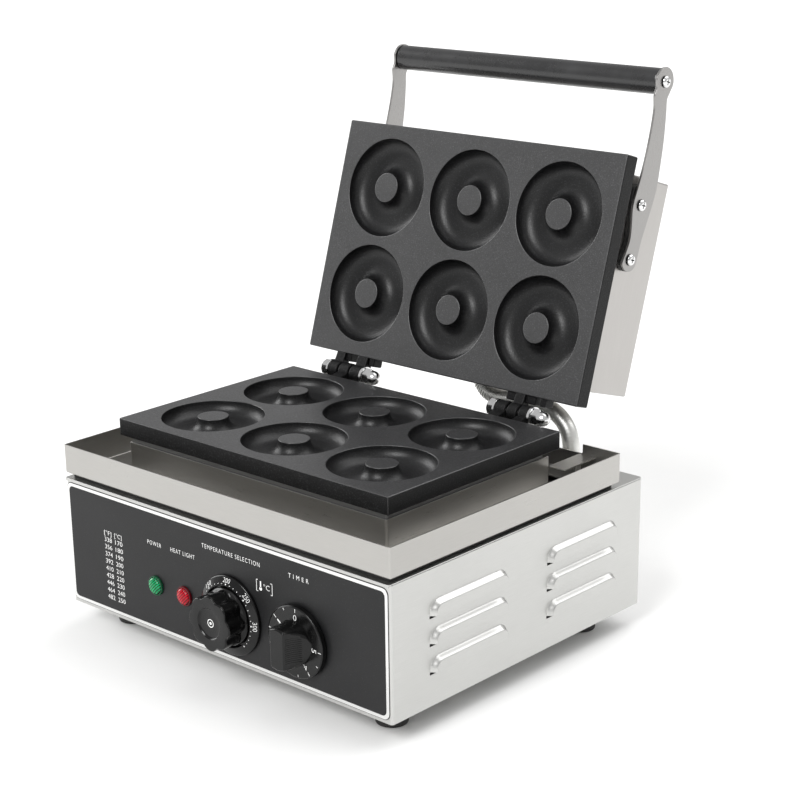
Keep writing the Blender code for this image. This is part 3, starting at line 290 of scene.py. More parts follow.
def rectangle(left, low, right, top):
    return [(left, low), (right, low), (right, top), (left, top)]


def circle_points(centre, radius, count, start=0.0, sweep=math.tau):
    """Points on a circle or, with a sweep, on an arc that includes both its ends."""
    steps = count if sweep == math.tau else count - 1
    points = []
    for i in range(count):
        angle = start + sweep * i / steps
        points.append((centre[0] + radius * math.cos(angle), centre[1] + radius * math.sin(angle)))
    return points


def circle(radius, count):
    return circle_points((0.0, 0.0), radius, count)


def level(points, z):
    return [(x, y, z) for x, y in points]


def quarter_round(radius, count):
    """(inset, rise) pairs round an edge, from its flat face out to its upright side."""
    angles = [k / (count - 1) * math.pi / 2 for k in range(count)]
    return [(radius * (1 - math.sin(a)), radius * (1 - math.cos(a))) for a in angles]


def rounded_rectangle(left, bottom, right, top, radius, count=8):
    corners = (
        ((right - radius, top - radius), 0.0), ((left + radius, top - radius), math.pi / 2),
        ((left + radius, bottom + radius), math.pi),
        ((right - radius, bottom + radius), 1.5 * math.pi),
    )
    points = []
    for centre, start in corners:
        points += circle_points(centre, radius, count, start, math.pi / 2)
    return points


def soften(points, radius, count):
    """An open profile with its inner corners rounded."""
    made = [points[0]]
    for before, here, after in zip(points, points[1:], points[2:]):
        before, here, after = Vector(before), Vector(here), Vector(after)
        reach = min(radius, 0.45 * (here - before).length, 0.45 * (after - here).length)
        first = here + (before - here).normalized() * reach
        last = here + (after - here).normalized() * reach
        for k in range(count + 1):
            t = k / count
            made.append(tuple(first * (1 - t) ** 2 + here * 2 * t * (1 - t) + last * t**2))
    return made + [points[-1]]


def catmull(a, b, c, d, t):
    return 0.5 * (
        2 * b + (c - a) * t + (2 * a - 5 * b + 4 * c - d) * t * t + (3 * b - a - 3 * c + d) * t**3
    )


def smooth_path(points, per_span):
    """Points along a smooth curve through the given ones."""
    padded = [points[0]] + list(points) + [points[-1]]
    path = []
    for i in range(len(points) - 1):
        a, b, c, d = (Vector(p) for p in padded[i : i + 4])
        path += [catmull(a, b, c, d, k / per_span) for k in range(per_span)]
    path.append(Vector(points[-1]))
    return path


def smooth_loop(points, per_span):
    """Points along a smooth closed curve through the given ones."""
    count = len(points)
    path = []
    for i in range(count):
        a, b, c, d = (Vector(points[(i + k - 1) % count]) for k in range(4))
        path += [catmull(a, b, c, d, k / per_span) for k in range(per_span)]
    return path


def bridge(bm, low, high, closed=True):
    """Faces between two rings of vertices, either of which may be a single point."""
    if len(low) == 1 and len(high) == 1:
        return
    count = max(len(low), len(high))
    last = count if closed else count - 1
    for i in range(last):
        j = (i + 1) % count
        if len(low) == 1:
            bm.faces.new((low[0], high[j], high[i]))
        elif len(high) == 1:
            bm.faces.new((low[i], low[j], high[0]))
        else:
            bm.faces.new((low[i], low[j], high[j], high[i]))


def skin(bm, loops, closed=True, foot=False, head=False):
    """Faces through loops of points. foot and head close the first and the last of them."""
    rings = [[bm.verts.new(Vector(point) * MM) for point in loop] for loop in loops]
    for low, high in zip(rings, rings[1:]):
        bridge(bm, low, high, closed)
    if foot:
        bm.faces.new(rings[0])
    if head:
        bm.faces.new(rings[-1])
    return rings


def turned_mesh(name, profile, steps=48, ring=False):
    """A profile of (radius, height) pairs, turned about its own Z."""
    bm = bmesh.new()
    loops = []
    for radius, height in profile:
        loops.append(level(circle(radius, steps) if radius else [(0.0, 0.0)], height))
    rings = skin(bm, loops)
    if ring:
        bridge(bm, rings[-1], rings[0])
    return to_mesh(bm, name)


def outline_mesh(name, loops, thickness, edge=0.0, steps=2):
    """A flat outline with any holes, centred on its own XY plane. edge rounds its rims."""
    curve = bpy.data.curves.new(name, "CURVE")
    curve.dimensions = "2D"
    curve.fill_mode = "BOTH"
    curve.extrude = (thickness / 2 - edge) * MM
    curve.bevel_depth = edge * MM
    curve.bevel_resolution = steps
    curve.offset = -edge * MM
    add_loops(curve, loops)
    return curve_to_mesh(name, curve)


def add_loops(curve, loops):
    for loop in loops:
        spline = curve.splines.new("POLY")
        spline.points.add(len(loop) - 1)
        for point, (a, b) in zip(spline.points, loop):
            point.co = (a * MM, b * MM, 0.0, 1.0)
        spline.use_cyclic_u = True


def curve_to_mesh(name, curve):
    holder = new_object(name + "_curve", curve)
    bpy.context.view_layer.update()
    graph = bpy.context.evaluated_depsgraph_get()
    source = bpy.data.meshes.new_from_object(holder.evaluated_get(graph))
    bpy.data.objects.remove(holder, do_unlink=True)
    bpy.data.curves.remove(curve)
    bm = bmesh.new()
    merge(bm, source)
    return to_mesh(bm, name)


def box_mesh(name, low, high, edge=0.4, steps=2):
    """A box with rounded edges, in the casing's own frame."""
    bm = bmesh.new()
    bmesh.ops.create_cube(bm, size=1.0)
    size = Vector(high) - Vector(low)
    middle = (Vector(high) + Vector(low)) / 2
    bmesh.ops.scale(bm, vec=size * MM, verts=bm.verts)
    bmesh.ops.translate(bm, vec=middle * MM, verts=bm.verts)
    if edge:
        bmesh.ops.bevel(
            bm, geom=bm.edges[:], offset=edge * MM, segments=steps, affect="EDGES", profile=0.5
        )
    return to_mesh(bm, name)


def tube_mesh(name, path, radii, steps):
    """A round tube along a path, with one radius for each of its points."""
    loops = []
    side = (path[1] - path[0]).orthogonal()
    for i, point in enumerate(path):
        ahead = (path[min(i + 1, len(path) - 1)] - path[max(i - 1, 0)]).normalized()
        side = (side - ahead * side.dot(ahead)).normalized()
        other = ahead.cross(side)
        loops.append([point + side * a + other * b for a, b in circle(radii[i], steps)])
    bm = bmesh.new()
    skin(bm, loops, foot=True, head=True)
    return to_mesh(bm, name)


def thicken(obj, thickness, even=True):
    """Sheet metal: gives a surface a wall on its inner side. It goes before the normals modifier."""
    wall = obj.modifiers.new("wall", "SOLIDIFY")
    wall.thickness = thickness * MM
    wall.offset = -1.0
    wall.use_even_offset = even
    obj.modifiers.move(len(obj.modifiers) - 1, 0)
    return obj


def round_edges(obj, width, angle=40.0, segments=2):
    edge = obj.modifiers.new("edges", "BEVEL")
    edge.width = width * MM
    edge.segments = segments
    edge.limit_method = "ANGLE"
    edge.angle_limit = math.radians(angle)
    obj.modifiers.move(len(obj.modifiers) - 1, len(obj.modifiers) - 2)
    return obj


# ---- material helpers


def new_look(name, colour, roughness, metallic=0.0, **sockets):
    """A Principled material. Further sockets are given with underscores for spaces."""
    look = bpy.data.materials.new(name)
    look.use_nodes = True
    shader = look.node_tree.nodes["Principled BSDF"]
    shader.inputs["Base Color"].default_value = (*colour, 1.0)
    shader.inputs["Roughness"].default_value = roughness
    shader.inputs["Metallic"].default_value = metallic
    for socket, value in sockets.items():
        shader.inputs[socket.replace("_", " ")].default_value = value
    look.diffuse_color = (*colour, 1.0)
    return look, look.node_tree, shader


def add_node(tree, kind, settings=None, **inputs):
    made = tree.nodes.new(kind)
    for key, value in (settings or {}).items():
        setattr(made, key, value)
    for key, value in inputs.items():
        made.inputs[key.replace("_", " ")].default_value = value
    return made


def coordinates(tree, scale):
    """The object's own coordinates, which are in metres before the scale."""
    source = add_node(tree, "ShaderNodeTexCoord")
    mapping = add_node(tree, "ShaderNodeMapping", Scale=scale)
    tree.links.new(source.outputs["Object"], mapping.inputs["Vector"])
    return mapping.outputs["Vector"]


def noise(tree, scale, detail, roughness):
    """Noise with one scale, or with its own along X, Y and Z, in features per metre."""
    made = add_node(tree, "ShaderNodeTexNoise", Scale=1.0, Detail=detail, Roughness=roughness)
    scales = scale if isinstance(scale, tuple) else (scale, scale, scale)
    tree.links.new(coordinates(tree, scales), made.inputs["Vector"])
    return made.outputs["Fac"]


def remap(tree, source, from_low, from_high, to_low, to_high):
    made = add_node(
        tree, "ShaderNodeMapRange",
        From_Min=from_low, From_Max=from_high, To_Min=to_low, To_Max=to_high,
    )
    tree.links.new(source, made.inputs["Value"])
    return made.outputs["Result"]


def mix_colours(tree, factor, first, second):
    """first and second are colours or sockets."""
    made = add_node(tree, "ShaderNodeMix", {"data_type": "RGBA"})
    for socket, value in ((made.inputs[6], first), (made.inputs[7], second)):
        if isinstance(value, tuple):
            socket.default_value = (*value, 1.0)
        else:
            tree.links.new(value, socket)
    tree.links.new(factor, made.inputs[0])
    return made.outputs[2]


def mix_values(tree, factor, first, second):
    made = add_node(tree, "ShaderNodeMix", {"data_type": "FLOAT"})
    for socket, value in ((made.inputs[0], factor), (made.inputs[2], first), (made.inputs[3], second)):
        if isinstance(value, float):
            socket.default_value = value
        else:
            tree.links.new(value, socket)
    return made.outputs[0]


def tint(tree, mask, low, high, amount, first, second):
    """A colour that moves from first towards second where the mask rises from low to high."""
    return mix_colours(tree, remap(tree, mask, low, high, 0.0, amount), first, second)


def vary(tree, mask, low, high, amount, first, second):
    """The same for a plain value."""
    return mix_values(tree, remap(tree, mask, low, high, 0.0, amount), first, second)


def set_surface(tree, shader, tone, rough):
    tree.links.new(tone, shader.inputs["Base Color"])
    tree.links.new(rough, shader.inputs["Roughness"])


def add_bump(tree, shader, height, strength, depth_mm, under=None):
    made = add_node(tree, "ShaderNodeBump", Strength=strength, Distance=depth_mm * MM)
    tree.links.new(height, made.inputs["Height"])
    if under is not None:
        tree.links.new(under, made.inputs["Normal"])
    tree.links.new(made.outputs["Normal"], shader.inputs["Normal"])
    return made.outputs["Normal"]


def scaled(colour, factor):
    return tuple(min(1.0, c * factor) for c in colour)


def brush_lines(tree, along, across):
    """Fine lines that run level on upright faces, and across the machine on flat ones."""
    upright = noise(tree, (along, along, across), 2.0, 0.6)
    level = noise(tree, (along, across, along), 2.0, 0.6)
    facing = add_node(tree, "ShaderNodeSeparateXYZ")
    source = add_node(tree, "ShaderNodeTexCoord")
    tree.links.new(source.outputs["Normal"], facing.inputs[0])
    size = add_node(tree, "ShaderNodeMath", {"operation": "ABSOLUTE"})
    tree.links.new(facing.outputs["Z"], size.inputs[0])
    flat = remap(tree, size.outputs[0], 0.6, 0.8, 0.0, 1.0)
    return mix_values(tree, flat, upright, level)


# ---- materials


def steel_look(name, colour, roughness, line_depth=0.05):
    """Satin sheet: fine brush lines, a fine grain, and faint cloudy marks from handling."""
    look, tree, shader = new_look(name, colour, roughness, 1.0)
    lines = brush_lines(tree, 55.0, 2300.0)
    grain = noise(tree, 1500.0, 2.0, 0.5)
    clouds = noise(tree, (11.0, 11.0, 16.0), 4.0, 0.6)
    tone = tint(tree, lines, 0.3, 0.7, 1.0, scaled(colour, 0.955), scaled(colour, 1.03))
    tone = tint(tree, grain, 0.35, 0.75, 0.16, tone, scaled(colour, 0.86))
    tone = tint(tree, clouds, 0.45, 0.75, 0.35, tone, scaled(colour, 0.93))
    rough = vary(tree, lines, 0.3, 0.7, 1.0, roughness - 0.04, roughness + 0.05)
    rough = vary(tree, clouds, 0.4, 0.7, 0.5, rough, roughness + 0.09)
    set_surface(tree, shader, tone, rough)
    under = add_bump(tree, shader, lines, line_depth, 0.05)
    add_bump(tree, shader, grain, 0.05, 0.04, under)
    return look


def non_stick_look(name, base, specular):
    """Charcoal coating on a casting: a pebbled surface with fine pale speckles."""
    look, tree, shader = new_look(name, base, 0.38, Specular_IOR_Level=specular)
    pebbles = noise(tree, 620.0, 3.0, 0.6)
    specks = noise(tree, 1100.0, 1.0, 0.4)
    clouds = noise(tree, 22.0, 3.0, 0.55)
    tone = tint(tree, clouds, 0.35, 0.7, 1.0, scaled(base, 0.85), scaled(base, 1.25))
    tone = tint(tree, specks, 0.56, 0.74, 0.8, tone, scaled(base, 6.0))
    set_surface(tree, shader, tone, vary(tree, pebbles, 0.3, 0.7, 1.0, 0.31, 0.44))
    under = add_bump(tree, shader, pebbles, 0.7, 0.2)
    add_bump(tree, shader, specks, 0.3, 0.08, under)
    return look


def plastic_look(name, colour, roughness, depth=0.03, fine=700.0, specular=0.5):
    """Moulded plastic: a soft orange-peel surface with slightly uneven gloss."""
    look, tree, shader = new_look(name, colour, roughness, Specular_IOR_Level=specular)
    peel = noise(tree, fine, 2.0, 0.5)
    marks = noise(tree, 45.0, 4.0, 0.65)
    tone = tint(tree, marks, 0.35, 0.7, 1.0, scaled(colour, 0.8), scaled(colour, 1.3))
    rough = vary(tree, marks, 0.35, 0.7, 1.0, roughness - 0.03, roughness + 0.07)
    set_surface(tree, shader, tone, rough)
    add_bump(tree, shader, peel, 0.25, depth)
    return look


def panel_look(name):
    """Satin black enamel with a fine even texture."""
    base = (0.01, 0.01, 0.0106)
    look, tree, shader = new_look(name, base, 0.42, Specular_IOR_Level=0.31)
    fine = noise(tree, 1300.0, 2.0, 0.5)
    dust = noise(tree, 16.0, 4.0, 0.6)
    tone = tint(tree, dust, 0.35, 0.75, 1.0, scaled(base, 0.88), scaled(base, 1.22))
    tone = tint(tree, fine, 0.62, 0.75, 0.5, tone, (0.06, 0.06, 0.062))
    set_surface(tree, shader, tone, vary(tree, fine, 0.3, 0.7, 1.0, 0.38, 0.48))
    add_bump(tree, shader, fine, 0.16, 0.05)
    return look


def bright_look(name, colour, roughness):
    """Plated or turned metal with hairline scratches and a little haze."""
    look, tree, shader = new_look(name, colour, roughness, 1.0)
    hair = noise(tree, (2600.0, 260.0, 2600.0), 2.0, 0.6)
    haze = noise(tree, 140.0, 3.0, 0.6)
    tone = tint(tree, haze, 0.4, 0.75, 1.0, colour, scaled(colour, 0.84))
    rough = vary(tree, haze, 0.35, 0.7, 1.0, roughness, roughness + 0.1)
    rough = vary(tree, hair, 0.55, 0.7, 0.4, rough, roughness + 0.16)
    set_surface(tree, shader, tone, rough)
    add_bump(tree, shader, hair, 0.05, 0.02)
    return look


def rubber_look(name):
    base = (0.018, 0.018, 0.018)
    look, tree, shader = new_look(name, base, 0.72)
    grit = noise(tree, 1100.0, 4.0, 0.65)
    dust = noise(tree, (70.0, 70.0, 120.0), 3.0, 0.6)
    tone = tint(tree, dust, 0.4, 0.7, 0.6, base, (0.045, 0.044, 0.042))
    set_surface(tree, shader, tone, remap(tree, grit, 0.3, 0.7, 0.62, 0.82))
    add_bump(tree, shader, grit, 0.4, 0.08)
    return look


def lens_look(name, bright, deep):
    """A clear coloured cap whose inside is cut into fine slanting ribs."""
    look, tree, shader = new_look(name, bright, 0.14, 0.0, Specular_IOR_Level=0.35)
    ribs = add_node(tree, "ShaderNodeTexWave", {"bands_direction": "DIAGONAL"}, Scale=1.0)
    tree.links.new(coordinates(tree, (240.0, -240.0, 0.0)), ribs.inputs["Vector"])
    depth = noise(tree, 180.0, 2.0, 0.5)
    tone = tint(tree, ribs.outputs["Fac"], 0.1, 0.9, 1.0, bright, deep)
    tone = tint(tree, depth, 0.35, 0.65, 0.45, tone, scaled(deep, 0.6))
    set_surface(tree, shader, tone, remap(tree, depth, 0.3, 0.7, 0.1, 0.2))
    add_bump(tree, shader, ribs.outputs["Fac"], 0.4, 0.2)
    return look


def ink_look(name):
    """White printing, slightly uneven, as screen printing is."""
    base = (0.95, 0.95, 0.94)
    look, tree, shader = new_look(name, base, 0.5)
    wear = noise(tree, 1500.0, 2.0, 0.6)
    tone = tint(tree, wear, 0.5, 0.75, 0.6, base, scaled(base, 0.72))
    set_surface(tree, shader, tone, remap(tree, wear, 0.3, 0.7, 0.42, 0.6))
    return look


def fibre_look(name):
    base = (0.68, 0.65, 0.58)
    look, tree, shader = new_look(name, base, 0.95)
    strands = noise(tree, (160.0, 160.0, 1400.0), 6.0, 0.7)
    tone = tint(tree, strands, 0.35, 0.7, 1.0, scaled(base, 0.7), base)
    tree.links.new(tone, shader.inputs["Base Color"])
    add_bump(tree, shader, strands, 0.8, 0.6)
    return look


def sleeve_look(name):
    """Woven glass sleeving on the inner wires."""
    base = (0.6, 0.57, 0.5)
    look, tree, shader = new_look(name, base, 0.8)
    weave = add_node(tree, "ShaderNodeTexChecker", Scale=1.0)
    weave.inputs["Color1"].default_value = (*base, 1.0)
    weave.inputs["Color2"].default_value = (*scaled(base, 0.6), 1.0)
    tree.links.new(coordinates(tree, (1400.0, 1400.0, 1400.0)), weave.inputs["Vector"])
    fuzz = noise(tree, 900.0, 3.0, 0.6)
    tone = tint(tree, fuzz, 0.3, 0.7, 0.5, weave.outputs["Color"], base)
    tree.links.new(tone, shader.inputs["Base Color"])
    add_bump(tree, shader, weave.outputs["Fac"], 0.5, 0.12)
    return look


def floor_look(name):
    base = (0.9, 0.9, 0.895)
    look, tree, shader = new_look(name, base, 0.7, 0.0, Specular_IOR_Level=0.2)
    tone = mix_colours(tree, noise(tree, 30.0, 4.0, 0.6), base, scaled(base, 0.985))
    tree.links.new(tone, shader.inputs["Base Color"])
    return look


CASE_STEEL = steel_look("case_steel", (0.6, 0.6, 0.585), 0.34, 0.02)
# A brighter copy of the casing steel for the panel border: a painted highlight for the light its front
# catches.
PAINTED_LIGHT_FRAME_STEEL = steel_look("frame_steel_painted_highlight", (0.88, 0.88, 0.87), 0.3, 0.02)
# Near-black used as painted shade: the groove line round the panel, the strip in the gap under the tray,
# and the recesses and lower rims of screws.
SHADE_GREY = plastic_look("painted_shade_grey", (0.022, 0.022, 0.022), 0.6, specular=0.3)
TRAY_STEEL = steel_look("tray_steel", (0.485, 0.475, 0.455), 0.3)
COVER_STEEL = steel_look("cover_steel", (0.5, 0.485, 0.47), 0.36)
ARM_STEEL = steel_look("arm_steel", (0.36, 0.352, 0.345), 0.28)
HOUSING_STEEL = steel_look("housing_steel", (0.3, 0.3, 0.3), 0.42)
HEATER_STEEL = steel_look("heater_steel", (0.34, 0.31, 0.28), 0.4)
NON_STICK = non_stick_look("non_stick", (0.011, 0.011, 0.0117), 0.98)
# Darker copies of the coating: painted shade in the mould bowls and on the plate's sides and knuckles.
NON_STICK_BOWL_SHADE = non_stick_look("non_stick_bowl_painted_shade", (0.0045, 0.0045, 0.0048), 0.38)
NON_STICK_EDGE_SHADE = non_stick_look("non_stick_edge_painted_shade", (0.005, 0.005, 0.0052), 0.16)
KNOB_BLACK = plastic_look("knob_black", (0.003, 0.003, 0.0031), 0.17, 0.015, specular=0.34)
GRIP_BLACK = plastic_look("grip_black", (0.014, 0.014, 0.0148), 0.27, 0.02, 500.0, 0.7)
SPACER_BLACK = plastic_look("spacer_black", (0.01, 0.01, 0.01), 0.42)
BLACK_NYLON = plastic_look("black_nylon", (0.02, 0.02, 0.021), 0.5)
NYLON = plastic_look("nylon", (0.72, 0.71, 0.66), 0.5)
PANEL_BLACK = panel_look("panel_black")
CHROME = bright_look("chrome", (0.82, 0.82, 0.82), 0.12)
COPPER = bright_look("copper", (0.78, 0.47, 0.3), 0.24)
CONDUIT_METAL = bright_look("conduit_metal", (0.74, 0.74, 0.715), 0.38)
RUBBER = rubber_look("rubber")
GREEN_LENS = lens_look("green_lens", (0.0, 0.46, 0.15), (0.0, 0.04, 0.012))
RED_LENS = lens_look("red_lens", (0.66, 0.0, 0.018), (0.14, 0.0, 0.004))
GREEN_RIM = plastic_look("green_rim", (0.0, 0.06, 0.022), 0.25)
RED_RIM = plastic_look("red_rim", (0.09, 0.0, 0.003), 0.25)
INK = ink_look("ink")
FIBRE = fibre_look("fibre")
SLEEVE = sleeve_look("sleeve")


# ---- base casing


def louvre_rim(inset):
    """The open line round a louvre at one height: right end, over the top, left end."""
    half = LOUVRE_LENGTH / 2
    radius = LOUVRE_CORNER - inset
    centre_x = half - LOUVRE_CORNER
    centre_y = LOUVRE_HEIGHT - LOUVRE_CORNER
    right = circle_points((centre_x, centre_y), radius, 14, 0.0, math.pi / 2)
    right = [(half - inset, 0.0)] + right
    left = [(-x, y) for x, y in reversed(right)]
    return right + left


def louvre_places():
    return [(start + LOUVRE_LENGTH / 2, low) for start in LOUVRE_STARTS for low in LOUVRE_BOTTOMS]


def add_hood(bm, centre, low):
    """One pressed hood, open along its lower edge, on a wall that lies in its own XY plane."""
    loops = []
    for k in range(HOOD_LEVELS):
        t = k / (HOOD_LEVELS - 1)
        rise = LOUVRE_DEPTH * (3 * t * t - 2 * t**3)
        loops.append([(x + centre, y + low, rise) for x, y in louvre_rim(LOUVRE_SLOPE * t)])
    skin(bm, loops, closed=False, head=True)


def side_wall_mesh(name):
    """A side of the casing in its own plane: X runs back, Y runs up."""
    wall = rectangle(CORNER, CASE_BOTTOM, CASE_DEPTH - CORNER, WALL_TOP)
    half = LOUVRE_LENGTH / 2
    cut = louvre_rim(0.0) + [(-half, -LOUVRE_DROP), (half, -LOUVRE_DROP)]
    holes = [[(x + centre, y + low) for x, y in cut] for centre, low in louvre_places()]
    bm = bmesh.new()
    merge(bm, flat_sheet(name + "_wall", [wall, *holes]))
    for centre, low in louvre_places():
        add_hood(bm, centre, low)
    return to_mesh(bm, name)


def control_holes(steps):
    """The holes for both lamps and both shafts, as loops in the front's own plane."""
    holes = [circle_points((x, LAMP_ROW), LAMP_HOLE, steps) for x in (POWER_LAMP_X, HEAT_LAMP_X)]
    return holes + [circle_points((x, CONTROL_ROW), SHAFT_HOLE, steps) for x in (THERMOSTAT_X, TIMER_X)]


def flat_sheet(name, loops):
    """A single surface with holes, in its own XY plane."""
    curve = bpy.data.curves.new(name, "CURVE")
    curve.dimensions = "2D"
    curve.fill_mode = "BOTH"
    add_loops(curve, loops)
    return curve_to_mesh(name, curve)


def build_casing():
    bm = bmesh.new()
    side = shift(CASE_HALF, 0.0, 0.0) @ turned_by(FACE_RIGHT)
    merge(bm, side_wall_mesh("right_wall"), side)
    merge(bm, side_wall_mesh("left_wall"), MIRROR_X @ side)
    edge = CASE_HALF - CORNER
    wall = rectangle(-edge, CASE_BOTTOM, edge, WALL_TOP)
    merge(bm, flat_sheet("front_wall", [wall, *control_holes(32)]), turned_by(FACE_FRONT))
    back = shift(0.0, CASE_DEPTH, 0.0) @ turned_by(FACE_FRONT)
    rim, hole = (circle_points(GLAND, radius, 32) for radius in GLAND_RIM)
    merge(bm, flat_sheet("back_wall", [wall, rim]), back)
    merge(bm, flat_sheet("gland_rim", [rim, hole]), back)
    for sign in (-1.0, 1.0):
        for y, start in ((CORNER, 1.5), (CASE_DEPTH - CORNER, 0.0)):
            arc = circle_points((edge, y), CORNER, 7, start * math.pi, math.pi / 2)
            arc = [(sign * a, b) for a, b in arc]
            skin(bm, [level(arc, CASE_BOTTOM), level(arc, WALL_TOP)], closed=False)
    casing = add_piece(
        "base_casing_sheet", to_mesh(bm, "casing"), CASE_STEEL, "base",
        replaces=("base_casing",), sharp=38.0,
    )
    thicken(casing, SHEET)
    round_edges(casing, 0.3, 60.0)
    add_front_frame()


def add_front_frame():
    """The pressed border that holds the control panel, in a brighter copy of the casing steel as a painted
    highlight, with a thin dark strip round it as painted shade for a fine groove.
    """
    for name, near, far, look in (
        ("panel_border", 0.0, FRAME_BAND, PAINTED_LIGHT_FRAME_STEEL),
        # A thin dark strip laid on the front: painted shade for the groove round the border.
        ("panel_groove", FRAME_BAND, FRAME_BAND + GROOVE_SHADE_WIDTH, SHADE_GREY),
    ):
        loops = [panel_loop(far), panel_loop(near)[::-1]]
        depth = 0.5 if near == 0.0 else 0.2
        mesh = outline_mesh(name, loops, depth, 0.1)
        at = (0.0, -0.05 - depth / 2, 0.0)
        add_piece(name, mesh, look, "base", at, FACE_FRONT)


def panel_loop(offset):
    left, low, right, top = PANEL
    return rounded_rectangle(
        left - offset, low - offset, right + offset, top + offset, PANEL_CORNER + 0.5 * offset, 8
    )


def build_deck():
    """The top sheet, with a lip folded down over the casing's front."""
    half = CASE_HALF
    front = -SHEET - 0.3
    outline = rounded_rectangle(-half, front, half, CASE_DEPTH, CORNER)
    opening = rounded_rectangle(*DECK_OPENING, 6.0)
    conduit = circle_points(CONDUIT_LOW, CONDUIT_RADIUS + 0.6, 40)
    screws = [circle_points(place, 2.4, 20) for place in DECK_SCREWS]
    bm = bmesh.new()
    thickness = CASE_TOP - WALL_TOP - 0.3
    sheet = outline_mesh("deck_sheet", [outline, opening, conduit, *screws], thickness, 0.3)
    merge(bm, sheet, shift(0.0, 0.0, CASE_TOP - thickness / 2))
    low = (1.0 - half, front, CASE_TOP - DECK_LIP)
    merge(bm, box_mesh("deck_lip", low, (half - 1.0, -0.3, CASE_TOP - 0.2), 0.35))
    mesh = to_mesh(bm, "deck")
    add_piece("top_deck_sheet", mesh, CASE_STEEL, "base", replaces=("top_deck",))
    for side, place in zip(("left", "right"), DECK_SCREWS):
        name = f"deck_screw_{side}"
        add_screw(name + "_head", name, (*place, CASE_TOP + 0.3), FLAT, "base", 3.6)


def build_feet():
    top = CASE_BOTTOM - 0.3
    profile = [
        (0.0, 2.2), (4.6, 2.2), (5.2, 0.7), (6.0, 0.0), (11.2, 0.0), (12.2, 0.5), (12.6, 1.6),
        (12.8, 9.0), (13.1, 17.6), (13.4, 18.4), (13.4, top - 0.5), (12.9, top), (0.0, top),
    ]
    for end, y in zip(("front", "rear"), FOOT_Y):
        for side, sign in (("left", -1.0), ("right", 1.0)):
            name = f"foot_{end}_{side}"
            mesh = turned_mesh(name, profile, 56)
            at = (sign * FOOT_X, y, 0.0)
            add_piece(name + "_rubber", mesh, RUBBER, "base", at, replaces=(name,))


# ---- screws and nuts


def hex_mesh(name, radius, height, bore, top_chamfer, low_chamfer):
    """A hexagonal block whose corners are turned off at both ends, with a round bore unless that is 0."""
    steps = 72
    flat = radius * math.cos(math.pi / 6)
    levels = (
        (0.0, flat - 0.1), (low_chamfer, radius + 0.01), (height - top_chamfer, radius + 0.01),
        (height, flat - 0.1),
    )
    loops = []
    for z, limit in levels:
        loop = []
        for i in range(steps):
            angle = math.tau * i / steps
            inside = (angle + math.pi / 6) % (math.pi / 3) - math.pi / 6
            reach = min(flat / math.cos(math.pi / 6 - abs(inside)), limit)
            loop.append((reach * math.cos(angle), reach * math.sin(angle), z))
        loops.append(loop)
    bm = bmesh.new()
    rings = skin(bm, loops, foot=not bore, head=not bore)
    if bore:
        inner = skin(bm, [level(circle(bore, steps), z) for z in (0.0, height)])
        bridge(bm, rings[0], inner[0])
        bridge(bm, rings[-1], inner[1])
    return to_mesh(bm, name)


def cross_points(arm, width):
    """A plus sign as one closed outline."""
    half = width / 2
    points = []
    for sin, cos in ((0.0, 1.0), (1.0, 0.0), (0.0, -1.0), (-1.0, 0.0)):
        for x, y in ((arm, half), (half, half), (half, arm)):
            points.append((x * cos - y * sin, x * sin + y * cos))
    return points


def screw_mesh(name, head):
    """A pan head with a tapering cross recess. Its underside is at height 0."""
    height = head * SCREW_HEIGHT
    profile = (
        (2.2, 0.0), (head - 0.1, 0.0), (head, 0.15), (head, height * 0.28),
        (head * 0.97, height * 0.46), (head * 0.9, height * 0.66), (head * 0.78, height * 0.84),
        (head * 0.66, height * 0.95),
    )
    bm = bmesh.new()
    skin(bm, [level(circle(radius, 48), z) for radius, z in profile], foot=True)
    cross = cross_points(head * 0.52, head * 0.2)
    top = flat_sheet(name + "_top", [circle(head * 0.66, 48), cross])
    merge(bm, top, shift(0.0, 0.0, height * 0.95))
    point = [(x * 0.5, y * 0.5) for x, y in cross]
    skin(bm, [level(cross, height * 0.95), level(point, height * 0.2)], head=True)
    return to_mesh(bm, name)


def add_screw(name, node, at, turn, body, head=4.7):
    """A screw whose recess and a thin line round its lower edge are painted dark, as painted shade."""
    screw = add_piece(
        name, screw_mesh(name, head), CHROME, body, at=at, turn=turn, replaces=(node,)
    )
    screw.data.materials.append(SHADE_GREY)
    for face in screw.data.polygons:
        across = face.center.xy.length / (head * MM)
        height = face.center.z / (head * SCREW_HEIGHT * MM)
        # Faces in the cross recess and round the head's lower rim take the dark material as painted shade.
        in_recess = across < 0.56 and 0.05 < height < 0.94
        if in_recess or (across > 0.97 and height < 0.27):
            face.material_index = 1


# ---- control panel and its printing


def text_mesh(words, size, width, gap=1.0):
    """Plain lettering centred on its own origin, as a thin layer of ink of that height and width."""
    curve = bpy.data.curves.new("print", "FONT")
    curve.body = words
    curve.size = size * CAP_TO_SIZE * MM
    curve.align_x = "CENTER"
    curve.align_y = "CENTER"
    curve.extrude = 0.02 * MM
    curve.offset = STROKE_TRIM * MM
    curve.space_character = gap
    curve.resolution_u = 3
    mesh = curve_to_mesh("print", curve)
    span = [vertex.co.x for vertex in mesh.vertices]
    fit = width * MM / (max(span) - min(span))
    mesh.transform(Matrix.Scale(fit, 4, Vector((1.0, 0.0, 0.0))))
    return mesh


def ring_print(radius, width):
    return outline_mesh("print", [circle(radius, 40), circle(radius - width, 40)], PRINT_THICKNESS)


def dot_print(radius):
    return outline_mesh("print", [circle(radius, 20)], PRINT_THICKNESS)


def bar_print(width, height):
    loop = rectangle(-width / 2, -height / 2, width / 2, height / 2)
    return outline_mesh("print", [loop], PRINT_THICKNESS)


def build_panel():
    outline = rounded_rectangle(*PANEL, PANEL_CORNER)
    mesh = outline_mesh("panel", [outline, *control_holes(40)], 0.5, 0.15)
    at = (0.0, PANEL_FACE + 0.25, 0.0)
    add_piece(
        "control_panel_plate", mesh, PANEL_BLACK, "base", at, FACE_FRONT, ("control_panel",)
    )
    build_panel_printing()


